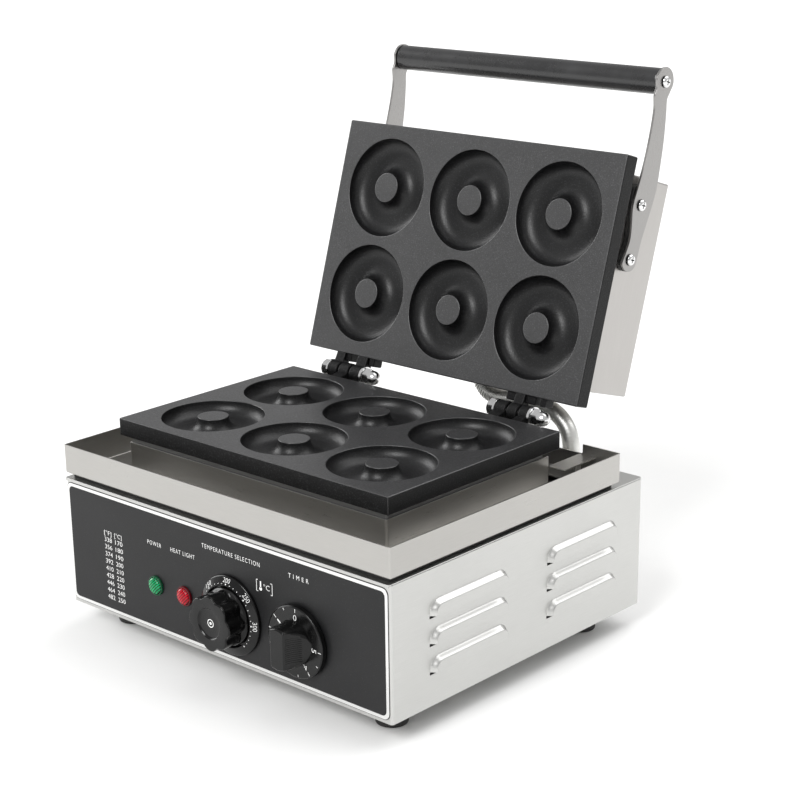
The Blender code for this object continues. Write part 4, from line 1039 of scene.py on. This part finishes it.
def build_panel_printing():
    bm = bmesh.new()
    for words, x, z, width, gap in PANEL_WORDS:
        merge(bm, text_mesh(words, CAPITAL, width, gap), shift(x, z, 0.0))
    for x, unit in ((FAHRENHEIT_X, "[°F]"), (CELSIUS_X, "[°C]")):
        merge(bm, text_mesh(unit, CAPITAL, TABLE_WIDTH), shift(x, TABLE_TOP, 0.0))
    for row in range(TABLE_ROWS):
        z = TABLE_FIRST - TABLE_PITCH * row
        for x, number in ((FAHRENHEIT_X, 338 + 18 * row), (CELSIUS_X, 170 + 10 * row)):
            merge(bm, text_mesh(str(number), TABLE_DIGIT, TABLE_WIDTH), shift(x, z, 0.0))
    add_unit_mark(bm)
    add_piece(
        "panel_printing", to_mesh(bm, "printing"), INK, "base", at=(0.0, PANEL_FACE - 0.03, 0.0),
        turn=FACE_FRONT,
    )


def add_unit_mark(bm):
    """A small thermometer beside the words for degrees, between brackets."""
    x, z = UNIT_MARK
    for side in (-1.0, 1.0):
        edge = x + side * 8.4
        merge(bm, bar_print(0.5, 9.6), shift(edge, z, 0.0))
        for level in (-4.6, 4.6):
            merge(bm, bar_print(1.8, 0.5), shift(edge - side * 0.8, z + level, 0.0))
    merge(bm, bar_print(1.3, 5.4), shift(x - 4.0, z + 1.2, 0.0))
    merge(bm, dot_print(1.5), shift(x - 4.0, z - 2.2, 0.0))
    merge(bm, text_mesh("°C", 4.2, 6.6), shift(x + 2.4, z, 0.0))


# ---- lamps and knobs


def build_lamps():
    front = -PANEL_FACE + 0.3
    r = LAMP_RADIUS
    bezel = [
        (6.2, front), (r, front), (r, front + 1.0), (r - 0.4, front + 1.7), (r - 0.9, front + 1.8),
        (r - 1.1, front + 1.2), (6.2, front + 0.6),
    ]
    lens = [
        (5.6, -4.0), (5.6, front), (r - 1.3, front + 0.3), (r - 1.25, front + 1.6),
        (r - 1.8, front + 2.7), (r - 2.9, front + 3.5), (3.6, front + 4.1), (1.7, front + 4.35),
        (0.0, front + 4.4),
    ]
    for name, x, look, rim_look, slot in (
        ("power_lamp", POWER_LAMP_X, GREEN_LENS, GREEN_RIM, "green_lens"),
        ("heat_lamp", HEAT_LAMP_X, RED_LENS, RED_RIM, "red_lens"),
    ):
        at = (x, 0.0, LAMP_ROW)
        add_piece(name + "_lens", turned_mesh(name, lens, 64), look, "base", at, FACE_FRONT, (name,))
        rim = turned_mesh(name + "_rim", bezel, 64, ring=True)
        add_piece(name + "_rim", rim, rim_look, "base", at, FACE_FRONT)


def around_dial(clock, radius, height, tilt=0.0):
    """The matrix that stands a print at that clock angle with its foot towards the middle."""
    spin = Matrix.Rotation(-math.radians(clock), 4, "Z")
    lean = Matrix.Rotation(-math.radians(tilt), 4, "X")
    return spin @ shift(0.0, radius, height) @ lean


def build_thermostat():
    at = (THERMOSTAT_X, 0.0, CONTROL_ROW)
    back = -PANEL_FACE + 0.3
    dial = [
        (32.4, back), (9.0, back), (9.0, back + 1.2), (24.2, back + 1.2), (24.5, back + 1.5),
        (24.8, back + 4.8), (25.1, back + 5.3), (25.7, back + 5.4), (31.3, back + 2.85),
        (32.0, back + 2.5), (32.4, back + 1.9),
    ]
    add_piece(
        "thermostat_bezel", turned_mesh("bezel", dial, 128, ring=True), KNOB_BLACK, "base",
        at, FACE_FRONT, ("thermostat_dial",),
    )
    build_thermostat_scale(at, back)
    build_thermostat_knob(at)


def build_thermostat_scale(at, back):
    """Dots and numbers on the cone of the fixed bezel."""
    slope = math.degrees(math.atan2(2.55, 5.6))

    def height(radius):
        return back + 5.4 - 2.55 * (radius - 25.7) / 5.6 + 0.04

    bm = bmesh.new()
    for k in range(-9, 16):
        clock = THERMOSTAT_STEP * k
        labelled = k % 5 == 0
        dot = dot_print(0.62 if labelled else 0.36)
        merge(bm, dot, around_dial(clock, THERMOSTAT_DOTS, height(THERMOSTAT_DOTS), slope))
    for number in (150, 200, 250, 300):
        clock = THERMOSTAT_STEP * 5 * (number - 200) / 50
        mesh = text_mesh(str(number), 3.7, 7.4)
        merge(bm, mesh, around_dial(clock, THERMOSTAT_NUMBERS, height(THERMOSTAT_NUMBERS), slope))
    add_piece("thermostat_scale", to_mesh(bm, "scale"), INK, "base", at, FACE_FRONT)


def fluted(radius, depth):
    """A round outline with finger flutes of that depth."""
    points = []
    for i in range(FLUTE_STEPS):
        angle = math.tau * i / FLUTE_STEPS
        r = radius - depth * (0.5 - 0.5 * math.cos(FLUTES * angle)) ** 1.5
        points.append((r * math.sin(angle), r * math.cos(angle)))
    return points


def build_thermostat_knob(at):
    """A low round collar, eight finger flutes, and a dished face with a raised boss."""
    back = -PANEL_FACE + 1.9
    front = KNOB_FRONT
    r = THERMOSTAT_KNOB_RADIUS
    levels = (
        (back, r - 0.2, 0.0), (back + 0.4, r, 0.0), (back + 3.2, r, 0.0),
        (back + 4.3, r - 0.3, 0.05), (back + 5.1, r - 0.9, 0.9), (back + 5.8, r - 1.2, 1.9),
        (back + 6.8, r - 1.1, 2.5), (front - 2.0, r - 0.7, 2.6), (front - 1.1, r - 0.8, 2.55),
        (front - 0.35, r - 1.15, 2.4), (front, r - 1.9, 2.1), (front - 0.25, 16.0, 0.5),
        (front - 0.3, 12.9, 0.0), (front - 0.5, 12.6, 0.0), (front - 1.5, 12.0, 0.0),
        (front - 1.9, 10.6, 0.0), (front - 2.1, 7.0, 0.0), (front - 2.15, 3.0, 0.0),
    )
    bm = bmesh.new()
    skin(bm, [level(fluted(radius, depth), z) for z, radius, depth in levels], foot=True, head=True)
    merge(bm, box_mesh("pointer", (-1.3, -r - 1.6, back + 3.4), (1.3, 5.0 - r, back + 6.4), 0.6, 3))
    knob = to_mesh(bm, "thermostat_knob")
    add_piece(
        "thermostat_knob_grip", knob, KNOB_BLACK, "thermostat", at, FACE_FRONT,
        ("thermostat_knob",), sharp=50.0,
    )
    marks = bmesh.new()
    for mark in (ring_print(3.4, 0.7), dot_print(1.2)):
        merge(marks, mark, shift(0.0, 0.0, front - 2.11))
    add_piece("thermostat_mark", to_mesh(marks, "mark"), INK, "thermostat", at, FACE_FRONT)


def build_timer():
    at = (TIMER_X, 0.0, CONTROL_ROW)
    back = -PANEL_FACE + 0.6
    front = TIMER_SKIRT_FACE
    r = 28.6
    skirt = [
        (8.0, back), (r - 0.5, back), (r, back + 0.5), (r, front - 1.1), (r - 0.25, front - 0.45),
        (r - 0.8, front - 0.1), (r - 1.5, front), (0.0, front),
    ]
    bm = bmesh.new()
    merge(bm, turned_mesh("skirt", skirt, 160))
    merge(bm, timer_bar_mesh())
    add_piece(
        "timer_knob_grip", to_mesh(bm, "timer_knob"), KNOB_BLACK, "timer", at, FACE_FRONT,
        ("timer_knob",), sharp=42.0,
    )
    build_timer_scale(at, front)


def bar_section(half_width, half_height, count=96):
    """A circle of radius half_height, flattened at both sides to half_width."""
    points = []
    for i in range(count):
        angle = math.tau * (i + 0.5) / count
        x = half_height * math.cos(angle)
        y = half_height * math.sin(angle)
        points.append((max(-half_width, min(half_width, x)), y))
    return points


def timer_bar_mesh():
    """The grip runs from a round foot on the skirt to a flat-faced bar at the front."""
    front = KNOB_FRONT
    back = TIMER_SKIRT_FACE
    stations = (
        (back - 0.4, 18.1, 18.1), (back + 0.3, 17.6, 17.7), (back + 1.4, 17.0, 17.6),
        (back + 3.0, 15.5, 17.5), (back + 7.0, 12.2, 17.3), (front - 7.0, 9.2, 17.1),
        (front - 4.0, 8.2, 16.8), (front - 1.3, 7.4, 16.5), (front - 0.5, 7.1, 16.2),
        (front - 0.1, 6.6, 15.7), (front, 6.0, 15.1),
    )
    bm = bmesh.new()
    skin(bm, [level(bar_section(wide, high), z) for z, wide, high in stations], head=True)
    for side in (-1.0, 1.0):
        add_bar_ribs(bm, side)
    return to_mesh(bm, "timer_bar")


def add_bar_ribs(bm, side):
    """Fine ribs down one flank of the grip, running from its face to its foot."""
    front = KNOB_FRONT
    path = ((front - 1.6, 7.35), (front - 7.0, 9.1), (TIMER_SKIRT_FACE + 5.6, 13.3))
    rib = ((-0.3, -0.5), (0.35, -0.2), (0.35, 0.2), (-0.3, 0.5))
    for i in range(13):
        y = -9.6 + 1.6 * i
        loops = [[(side * (x + a), y + b, z) for a, b in rib] for z, x in path]
        skin(bm, loops, foot=True, head=True)


def build_timer_scale(at, front):
    """Minutes on the turning skirt, with a tick at each half minute."""
    bm = bmesh.new()
    for k in range(11):
        clock = TIMER_ZERO + TIMER_STEP * k / 2
        length = 3.0 if k % 2 == 0 else 1.8
        merge(bm, bar_print(0.5, length), around_dial(clock, 27.2 - length / 2, front + 0.03))
    for minute in range(6):
        clock = TIMER_ZERO + TIMER_STEP * minute
        width = 1.2 if minute == 1 else 3.2
        merge(bm, text_mesh(str(minute), 4.6, width), around_dial(clock, 19.8, front + 0.03))
    add_piece("timer_scale", to_mesh(bm, "timer_scale"), INK, "timer", at, FACE_FRONT)


# ---- tray and housing


def tray_loop(inset):
    """The tray's outline seen from above, with its height at each point of the back notch."""
    half = CASE_HALF - inset
    low_y = inset
    high_y = TRAY_DEPTH - inset
    radius = TRAY_CORNER - inset
    loop = []
    for x, y in rounded_rectangle(-half, low_y, half, high_y, radius, 6):
        loop.append((x, y, TRAY_TOP))
    edge = NOTCH_HALF
    notch = [(edge, TRAY_TOP), (edge - 0.12, FLAP_HEIGHT + 2.0)]
    for k in range(1, 6):
        angle = k * math.pi / 10
        notch.append((edge - 2.0 + 2.0 * math.cos(angle), FLAP_HEIGHT + 2.0 - 2.0 * math.sin(angle)))
    right_back = loop[:6]
    left_on = loop[6:]
    across = [(x, high_y, z) for x, z in notch]
    across += [(-x, high_y, z) for x, z in reversed(notch)]
    return right_back + across + left_on


def build_tray():
    bm = bmesh.new()
    bend = TRAY_CORNER - 0.1
    loops = []
    for inset, rise in quarter_round(bend, 7):
        loops.append([(x, y, TRAY_BOTTOM + rise) for x, y, _ in tray_loop(inset)])
    skin(bm, loops + [tray_loop(0.0)])
    floor_loop = [(x, y) for x, y, _ in tray_loop(bend)]
    wide, front, back, _ = UPSTAND
    opening = rectangle(0.5 - wide, front + 0.5, wide - 0.5, back + 20.0)
    merge(bm, flat_sheet("tray_floor", [floor_loop, opening]), shift(0.0, 0.0, TRAY_BOTTOM))
    mesh = to_mesh(bm, "tray")
    tray = add_piece(
        "drip_tray_pan", mesh, TRAY_STEEL, "base", replaces=("drip_tray",), sharp=40.0
    )
    thicken(tray, TRAY_SHEET, even=False)
    round_edges(tray, 0.28, 60.0)
    build_tray_seat()
    build_upstand()
    build_bracket()


def build_tray_seat():
    """A black strip under the rim of the tray, which closes the gap down to the deck: painted shade for
    the shadow in that gap.
    """
    half = CASE_HALF - GAP_SHADE_INSET
    back = TRAY_DEPTH - GAP_SHADE_INSET
    outer = rounded_rectangle(-half, GAP_SHADE_INSET, half, back, 3.0, 6)
    edge = half - GAP_SHADE_WIDTH
    inner = rounded_rectangle(-edge, GAP_SHADE_INSET + GAP_SHADE_WIDTH, edge, back - GAP_SHADE_WIDTH, 2.0, 6)
    height = TRAY_BOTTOM - CASE_TOP - 0.6
    mesh = outline_mesh("seat", [outer, inner[::-1]], height, 0.2)
    middle = (TRAY_BOTTOM + CASE_TOP) / 2
    add_piece("tray_seat_strip", mesh, SHADE_GREY, "base", at=(0.0, 0.0, middle))


def build_upstand():
    """The wall round the housing on three sides, with small bends at its front corners."""
    wide, front, back, top = UPSTAND
    loop = []
    for inset, radius in ((0.0, 2.4), (TRAY_SHEET, 1.4)):
        edge = wide - inset
        corners = [(-edge, back), (-edge, front + inset), (edge, front + inset), (edge, back)]
        loop += soften(corners if inset == 0.0 else corners[::-1], radius, 6)
    low = TRAY_BOTTOM + 0.4
    mesh = outline_mesh("upstand", [loop], top - low, 0.28)
    at = (0.0, 0.0, (top + low) / 2)
    add_piece("tray_upstand", mesh, TRAY_STEEL, "base", at, sharp=40.0)
    pads = bmesh.new()
    base = CASE_TOP + 0.3
    reach = TRAY_BOTTOM + 0.2 - base
    profile = [(0.0, 0.0), (4.8, 0.0), (5.6, 0.4), (6.0, 1.2), (6.4, reach)]
    for x in (-160.0, 160.0):
        for y in (20.0, 250.0):
            merge(pads, turned_mesh("pad", profile, 40), shift(x, y, base))
    add_piece("tray_pads", to_mesh(pads, "pads"), TRAY_STEEL, "base")


def build_bracket():
    """A folded strip in the tray's rear right corner."""
    wide, _, back, _ = UPSTAND
    deep = TRAY_DEPTH - TRAY_SHEET - 0.3
    top = FLAP_HEIGHT - 0.3
    bm = bmesh.new()
    merge(bm, box_mesh("flap", (wide - 1.4, back + 1.6, top - 1.0), (156.5, deep, top), 0.3))
    foot = TRAY_BOTTOM + TRAY_SHEET + 0.3
    merge(bm, box_mesh("leg", (155.5, 244.0, foot), (156.5, 250.0, top - 0.3), 0.3))
    mesh = to_mesh(bm, "bracket")
    add_piece("tray_bracket_fold", mesh, TRAY_STEEL, "base", replaces=("tray_bracket",))


# ---- cast plates


def mould_profile(count=26):
    """One ring mould, from its rounded outer rim, round the bowl, to the post's flat top."""
    middle = (MOULD_RADIUS + POST_RADIUS) / 2
    half = (MOULD_RADIUS - POST_RADIUS) / 2
    lip = ((0.8, 0.0), (0.4, -0.06), (0.12, -0.22))
    profile = [(MOULD_RADIUS + out, z) for out, z in lip]
    for i in range(count + 1):
        angle = math.pi * i / count
        along = math.cos(angle)
        reach = math.copysign(abs(along) ** 0.8, along)
        depth = 0.5 + (MOULD_DEPTH - 0.5) * max(0.0, math.sin(angle)) ** 0.9
        profile.append((middle + half * reach, -depth))
    return profile + [(POST_RADIUS - out, z) for out, z in reversed(lip)] + [(0.0, 0.0)]


def plate_loop(inset):
    half = PLATE_HALF - inset
    return rounded_rectangle(-half, PLATE_FRONT + inset, half, PLATE_BACK - inset, PLATE_CORNER - inset, 6)


def plate_mesh(name):
    """A plate with its moulded face at height 0 and its body below, in the casing's X and Y."""
    bm = bmesh.new()
    levels = [(inset, -rise) for inset, rise in quarter_round(PLATE_EDGE, 6)]
    levels += [(inset, -PLATE_THICKNESS - z) for inset, z in reversed(levels)]
    skin(bm, [level(plate_loop(inset), z) for inset, z in levels], head=True)
    steps = 112
    holes = []
    for x in MOULD_X:
        for y in MOULD_Y:
            holes.append(circle_points((x, y), MOULD_RADIUS + 0.8, steps))
            merge(bm, turned_mesh("mould", mould_profile(), steps), shift(x, y, 0.0))
    merge(bm, flat_sheet(name + "_face", [plate_loop(PLATE_EDGE), *holes]))
    return to_mesh(bm, name)


def knuckle_outline(low, high):
    """A knuckle seen from the right: a barrel round the hinge, with a web to the plate's back edge."""
    web_start = PLATE_BACK - 2.0
    if high < HINGE[2]:
        bottom = HINGE[2] - KNUCKLE_RADIUS + 0.5
        top = high - 0.4
        first = -0.6 * math.pi
    else:
        bottom = low + 0.4
        top = HINGE[2] + KNUCKLE_RADIUS - 0.5
        first = -0.95 * math.pi
    barrel = circle_points((HINGE[1], HINGE[2]), KNUCKLE_RADIUS, 40, first, 1.55 * math.pi)
    return [(web_start, top), (web_start, bottom)] + barrel


def add_knuckles(bm, spans, low, high):
    outline = knuckle_outline(low, high)
    bore = circle_points((HINGE[1], HINGE[2]), BOLT_RADIUS + 0.3, 32)
    for start, end in spans:
        mesh = outline_mesh("knuckle", [outline, bore], end - start, 1.1, 4)
        merge(bm, mesh, shift((start + end) / 2, 0.0, 0.0) @ turned_by(FACE_RIGHT))


def build_lower_plate():
    bm = bmesh.new()
    merge(bm, plate_mesh("lower"), shift(0.0, 0.0, LOWER_TOP))
    spans = (LEFT_KNUCKLES[1], RIGHT_KNUCKLES[0], RIGHT_KNUCKLES[2])
    add_knuckles(bm, spans, LOWER_TOP - PLATE_THICKNESS, LOWER_TOP)
    plate = add_piece(
        "lower_plate_casting", to_mesh(bm, "lower_plate"), NON_STICK, "base",
        replaces=("lower_plate",), sharp=48.0,
    )
    dress_plate(plate, LOWER_TOP)


def build_upper_plate():
    bm = bmesh.new()
    high = UPPER_FACE + PLATE_THICKNESS
    merge(bm, plate_mesh("upper"), shift(0.0, 0.0, UPPER_FACE) @ MIRROR_Z)
    spans = (LEFT_KNUCKLES[0], LEFT_KNUCKLES[2], RIGHT_KNUCKLES[1])
    add_knuckles(bm, spans, UPPER_FACE, high)
    for tabs, recess in ((BACK_WEBS, 2.2), (STOP_LUGS, 1.0)):
        for start, end in tabs:
            low_corner = (start, PLATE_BACK - 2.0, UPPER_FACE + recess)
            merge(bm, box_mesh("tab", low_corner, (end, LUG_BACK, high - 2.0), 1.2, 3))
    plate = add_piece(
        "upper_plate_casting", to_mesh(bm, "upper_plate"), NON_STICK, "lid",
        replaces=("upper_plate",), sharp=48.0,
    )
    dress_plate(plate, UPPER_FACE)


def in_mould(x, y):
    """Whether a point lies over the ring of a mould, outside its middle post."""
    for mould_x in MOULD_X:
        for mould_y in MOULD_Y:
            if POST_RADIUS - 1.0 < math.dist((x, y), (mould_x, mould_y)) < MOULD_RADIUS:
                return True
    return False


def dress_plate(plate, face_height):
    """The plate's edges and knuckles get a darker copy of the coat than its faces, as painted shade on the
    sides, and the moulds a darker copy with weaker reflections, as painted shade in the bowls.
    """
    plate.data.materials.append(NON_STICK_EDGE_SHADE)
    plate.data.materials.append(NON_STICK_BOWL_SHADE)
    for face in plate.data.polygons:
        x, y, z = face.center / MM
        depth = abs(z - face_height)
        if abs(x) > PLATE_HALF - 0.3 or not PLATE_FRONT + 0.3 < y < PLATE_BACK - 0.3:
            face.material_index = 1
        elif 0.5 < depth < MOULD_DEPTH + 0.5 and in_mould(x, y):
            face.material_index = 2


# ---- hinge bolts


def build_hinge_bolts():
    for side, spans in (("left", LEFT_KNUCKLES), ("right", RIGHT_KNUCKLES)):
        start = spans[0][0] - 0.3
        end = spans[2][1] + 0.3
        y, z = HINGE[1], HINGE[2]
        low = start - end - 7.0
        r = BOLT_RADIUS
        shank = [(0.0, low), (r - 0.6, low), (r, low + 0.6), (r, 1.0), (0.0, 1.0)]
        bm = bmesh.new()
        merge(bm, turned_mesh("shank", shank, 40))
        merge(bm, hex_mesh("head", 7.4, BOLT_HEAD_LENGTH, 0.0, 0.8, 0.1))
        radius, top = BOLT_FLANGE
        rim = [(0.0, 0.0), (radius - 0.2, 0.0), (radius, 0.2), (radius, top - 0.2), (radius - 0.2, top)]
        merge(bm, turned_mesh("flange", rim + [(0.0, top)], 48))
        add_piece(
            f"hinge_bolt_{side}_hex", to_mesh(bm, "bolt"), CHROME, "base", (start, y, z),
            ALONG_MINUS_X, (f"hinge_bolt_{side}",),
        )
        bore = r + 0.3
        washer = [(bore, 0.0), (8.0, 0.0), (8.2, 0.2), (8.2, 2.0), (8.0, 2.2), (bore, 2.2)]
        add_piece(
            f"hinge_washer_{side}_disc", turned_mesh("washer", washer, 64, ring=True), CHROME, "base",
            (end, y, z), ALONG_X, (f"hinge_washer_{side}",),
        )
        build_acorn_nut(side, (end + 2.5, y, z))


def build_acorn_nut(side, at):
    """A cap nut: six chamfered flats under a round dome."""
    bm = bmesh.new()
    merge(bm, hex_mesh("flats", 7.4, 6.8, BOLT_RADIUS + 0.3, 1.0, 0.5))
    profile = [
        (6.3, 6.2), (6.25, 7.4), (6.1, 9.0), (5.7, 10.5), (5.0, 11.9), (4.0, 13.0), (2.8, 13.8),
        (1.4, 14.25), (0.0, 14.4),
    ]
    merge(bm, turned_mesh("dome", profile, 64))
    add_piece(
        f"hinge_nut_{side}_cap", to_mesh(bm, "nut"), CHROME, "base", at, ALONG_X,
        (f"hinge_nut_{side}",),
    )


# ---- lid


def build_cover():
    """A folded sheet box over the upper plate, open towards the plate."""
    edge = COVER_EDGE
    levels = [(0.0, COVER_LOW)]
    levels += [(rise, COVER_TOP - inset) for inset, rise in quarter_round(edge, 7)]
    loops = []
    for inset, z in levels:
        half = COVER_HALF - inset
        low, high = COVER_FRONT + inset, COVER_BACK - inset
        loops.append(level(rounded_rectangle(-half, low, half, high, edge + 0.1 - inset, 6), z))
    bm = bmesh.new()
    skin(bm, loops, head=True)
    mesh = to_mesh(bm, "cover")
    cover = add_piece(
        "upper_cover_shell", mesh, COVER_STEEL, "lid", replaces=("upper_cover",)
    )
    thicken(cover, 1.0)
    round_edges(cover, 0.28, 60.0)


def arm_outline(start):
    """The arm from a given distance behind its eye, as a closed outline about the eye's centre."""
    end_s = ARM_SCREW_Y[1] - EYE[0]
    end_t = ARM_SCREW_Z - EYE[1]
    stations = [s for s in ARM_STATIONS if s[0] >= start]
    lower = [(s, low) for s, low, _ in stations]
    upper = [(s, high) for s, _, high in stations]
    tip = circle_points((end_s, end_t), 9.8, 5, -0.38 * math.pi, 0.76 * math.pi)
    points = lower + tip + upper[::-1]
    if start == 0:
        points = circle_points((0.0, 0.0), 11.6, 7, 0.3 * math.pi, 1.4 * math.pi) + points
    return [(p.x, p.y) for p in smooth_loop([(a, b, 0.0) for a, b in points], 9)]


def build_handle():
    for side, sign in (("left", -1.0), ("right", 1.0)):
        for node, suffix, look, slot, start, inner, thickness in (
            ("arm_spacer", "pad", SPACER_BLACK, "black_plastic", SPACER_START, SPACER_INNER, SPACER_SHEET),
            ("handle_arm", "strip", ARM_STEEL, "arm_steel", 0.0, ARM_INNER, ARM_SHEET),
        ):
            edge = 0.35 if look is ARM_STEEL else 0.5
            mesh = outline_mesh(node, [arm_outline(start)], thickness, edge, 3)
            at = (sign * (inner + thickness / 2), *EYE)
            name = f"{node}_{side}"
            add_piece(f"{name}_{suffix}", mesh, look, "lid", at, FACE_RIGHT, (name,))
        turn = ALONG_X if sign > 0 else ALONG_MINUS_X
        head_x = sign * (ARM_INNER + ARM_SHEET + 0.3)
        places = {f"grip_screw_{side}": EYE}
        for height, screw_y in zip(("upper", "lower"), ARM_SCREW_Y):
            places[f"arm_screw_{side}_{height}"] = (screw_y, ARM_SCREW_Z)
        for node, place in places.items():
            add_screw(node + "_head", node, (head_x, *place), turn, "lid")
    build_grip()


def build_grip():
    r = GRIP_RADIUS
    length = 2 * GRIP_HALF
    end = [(5.4, 0.0), (r - 1.6, 0.0), (r - 0.7, 0.25), (r - 0.15, 0.9), (r, 1.9)]
    profile = end + [(a, length - b) for a, b in reversed(end)]
    grip = turned_mesh("grip", profile, 96, ring=True)
    at = (-GRIP_HALF, *EYE)
    add_piece("handle_grip_sleeve", grip, GRIP_BLACK, "lid", at, ALONG_X, ("handle_grip",))


# ---- conduit


def open_lid_point(x, y, z):
    """Where a point of the shut lid stands once the lid is open."""
    angle = math.radians(LID_OPEN_DEGREES)
    back = y - HINGE[1]
    up = z - HINGE[2]
    return (
        x,
        HINGE[1] + back * math.cos(angle) + up * math.sin(angle),
        HINGE[2] - back * math.sin(angle) + up * math.cos(angle),
    )


def even_path(points, step):
    """The same path with its points a fixed distance apart."""
    made = [points[0]]
    carried = 0.0
    for a, b in zip(points, points[1:]):
        span = (b - a).length
        while carried + span >= step:
            a = a + (b - a).normalized() * (step - carried)
            span = (b - a).length
            carried = 0.0
            made.append(a)
        carried += span
    return made


def build_conduit():
    """Corrugated metal conduit. Its ribs are deepest where it bends up to the lid."""
    top = [open_lid_point(CONDUIT_LID_X, COVER_BACK + d, CONDUIT_LID_Z) for d in (9.0, 0.0, -6.0)]
    path = even_path(smooth_path([*CONDUIT_ROUTE, *top], 40), CONDUIT_STEP)
    radii = []
    for i, point in enumerate(path):
        deep = 1.0 - max(0.0, min(1.0, (point.x - 40.0) / 20.0))
        wave = 0.5 - 0.5 * math.cos(math.tau * i * CONDUIT_STEP / CONDUIT_PITCH)
        radii.append(CONDUIT_RADIUS - (0.05 + 0.45 * deep) * wave)
    mesh = tube_mesh("conduit", path, radii, 36)
    mesh.materials.append(CONDUIT_METAL)
    for face in mesh.polygons:
        face.use_smooth = True
    conduit = new_object("conduit_tube", mesh)
    conduit.matrix_world = Matrix.Translation(metres(0.0, 0.0, 0.0))
    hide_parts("conduit")
    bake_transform(conduit)
    low_place = (*CONDUIT_LOW, CASE_TOP + 0.3)
    high_place = (CONDUIT_LID_X, COVER_BACK + 0.3, CONDUIT_LID_Z)
    for end, height, body, at, turn in (
        ("lower", 6.5, "base", low_place, FLAT),
        ("upper", 5.0, "lid", high_place, ALONG_BACK),
    ):
        node = f"conduit_nut_{end}"
        nut = hex_mesh("nut", 11.5, height, CONDUIT_RADIUS + 0.6, 0.9, 0.3)
        add_piece(node + "_hex", nut, CHROME, body, at, turn, (node,))


def build_gland():
    """The mains cord's gland at the back: a flange, a ribbed collar and a rounded mouth."""
    bm = bmesh.new()
    body = [
        (4.5, -16.0), (8.0, -16.0), (8.0, 0.3), (12.2, 0.3), (12.5, 0.6), (12.5, 1.8), (12.2, 2.1),
        (11.0, 2.1), (11.0, 10.0), (10.6, 10.9), (9.6, 11.7), (8.4, 12.0), (5.6, 12.0), (4.8, 11.6),
        (4.5, 10.8),
    ]
    merge(bm, turned_mesh("gland", body, 72, ring=True))
    for k in range(24):
        spin = Matrix.Rotation(math.tau * k / 24, 4, "Z")
        merge(bm, box_mesh("rib", (10.8, -0.55, 2.2), (11.5, 0.55, 9.6), 0.25, 2), spin)
    at = (GLAND[0], CASE_DEPTH, GLAND[1])
    add_piece(
        "cable_gland_collar", to_mesh(bm, "gland"), BLACK_NYLON, "base", at, ALONG_BACK,
        ("cable_gland",),
    )


# ---- CAD nodes that keep their shape


def dress_cad_nodes():
    for look, nodes in (
        (CASE_STEEL, "bottom_plate"),
        (HOUSING_STEEL, "lower_housing"),
        (HEATER_STEEL, "lower_heater upper_heater"),
        (FIBRE, "lower_insulation upper_insulation"),
        (NYLON, "power_lamp_body heat_lamp_body terminal_block"),
        (COPPER, "thermostat_body thermostat_bulb thermostat_capillary"),
        (CHROME, "thermostat_shaft timer_shaft grip_rod"),
        (BLACK_NYLON, "timer_body gland_nut"),
        (SLEEVE, "wire_supply wire_timer"),
    ):
        for node in nodes.split():
            for material_slot in bpy.data.objects[node].material_slots:
                material_slot.material = look


# ---- floor, light and camera


def build_floor():
    half = FLOOR_HALF
    floor = new_object("floor", outline_mesh("floor", [rectangle(-half, -half, half, half)], 1.0))
    floor.data.materials.append(floor_look("floor"))
    floor.location.z = -0.5 * MM


def add_wide_light(name, direction, width, strength):
    """A large soft source far away, as wide as its angle in degrees, shining from a direction."""
    light = bpy.data.lights.new(name, "SUN")
    light.angle = math.radians(width)
    light.energy = strength
    holder = new_object(name, light)
    holder.rotation_euler = Vector(direction).to_track_quat("Z", "Y").to_euler()


def build_light():
    world = bpy.data.worlds.new("studio")
    world.use_nodes = True
    background = world.node_tree.nodes["Background"]
    background.inputs["Color"].default_value = (1.0, 1.0, 1.0, 1.0)
    background.inputs["Strength"].default_value = 0.55
    bpy.context.scene.world = world
    add_wide_light("key", (0.1, -0.76, 0.65), 26.0, 1.9)
    add_wide_light("left", (-0.95, -0.15, 0.35), 36.0, 1.3)
    add_wide_light("top", (0.25, 0.5, 0.83), 60.0, 1.5)


def build_camera():
    camera = bpy.data.cameras.new("camera")
    camera.lens = 87.27
    camera.sensor_width = 36.0
    camera.shift_x = 0.0589
    camera.shift_y = 0.0939
    camera.clip_start = 0.05
    place = metres(*CAMERA_PLACE)
    ahead = (metres(*CAMERA_TARGET) - place).normalized()
    right = ahead.cross(Vector((0.0, 0.0, 1.0))).normalized()
    up = right.cross(ahead)
    tilted_right = right * math.cos(CAMERA_ROLL) + up * math.sin(CAMERA_ROLL)
    tilted_up = up * math.cos(CAMERA_ROLL) - right * math.sin(CAMERA_ROLL)
    turn = Matrix((tilted_right, tilted_up, -ahead)).transposed().to_4x4()
    holder = new_object("camera", camera)
    holder.matrix_world = Matrix.Translation(place) @ turn
    bpy.context.scene.camera = holder


build_casing()
build_deck()
build_feet()
build_panel()
build_lamps()
build_thermostat()
build_timer()
build_tray()
build_lower_plate()
build_upper_plate()
build_hinge_bolts()
build_cover()
build_handle()
build_conduit()
build_gland()
dress_cad_nodes()
build_floor()
build_light()
build_camera()
bpy.context.scene.view_settings.view_transform = "Standard"
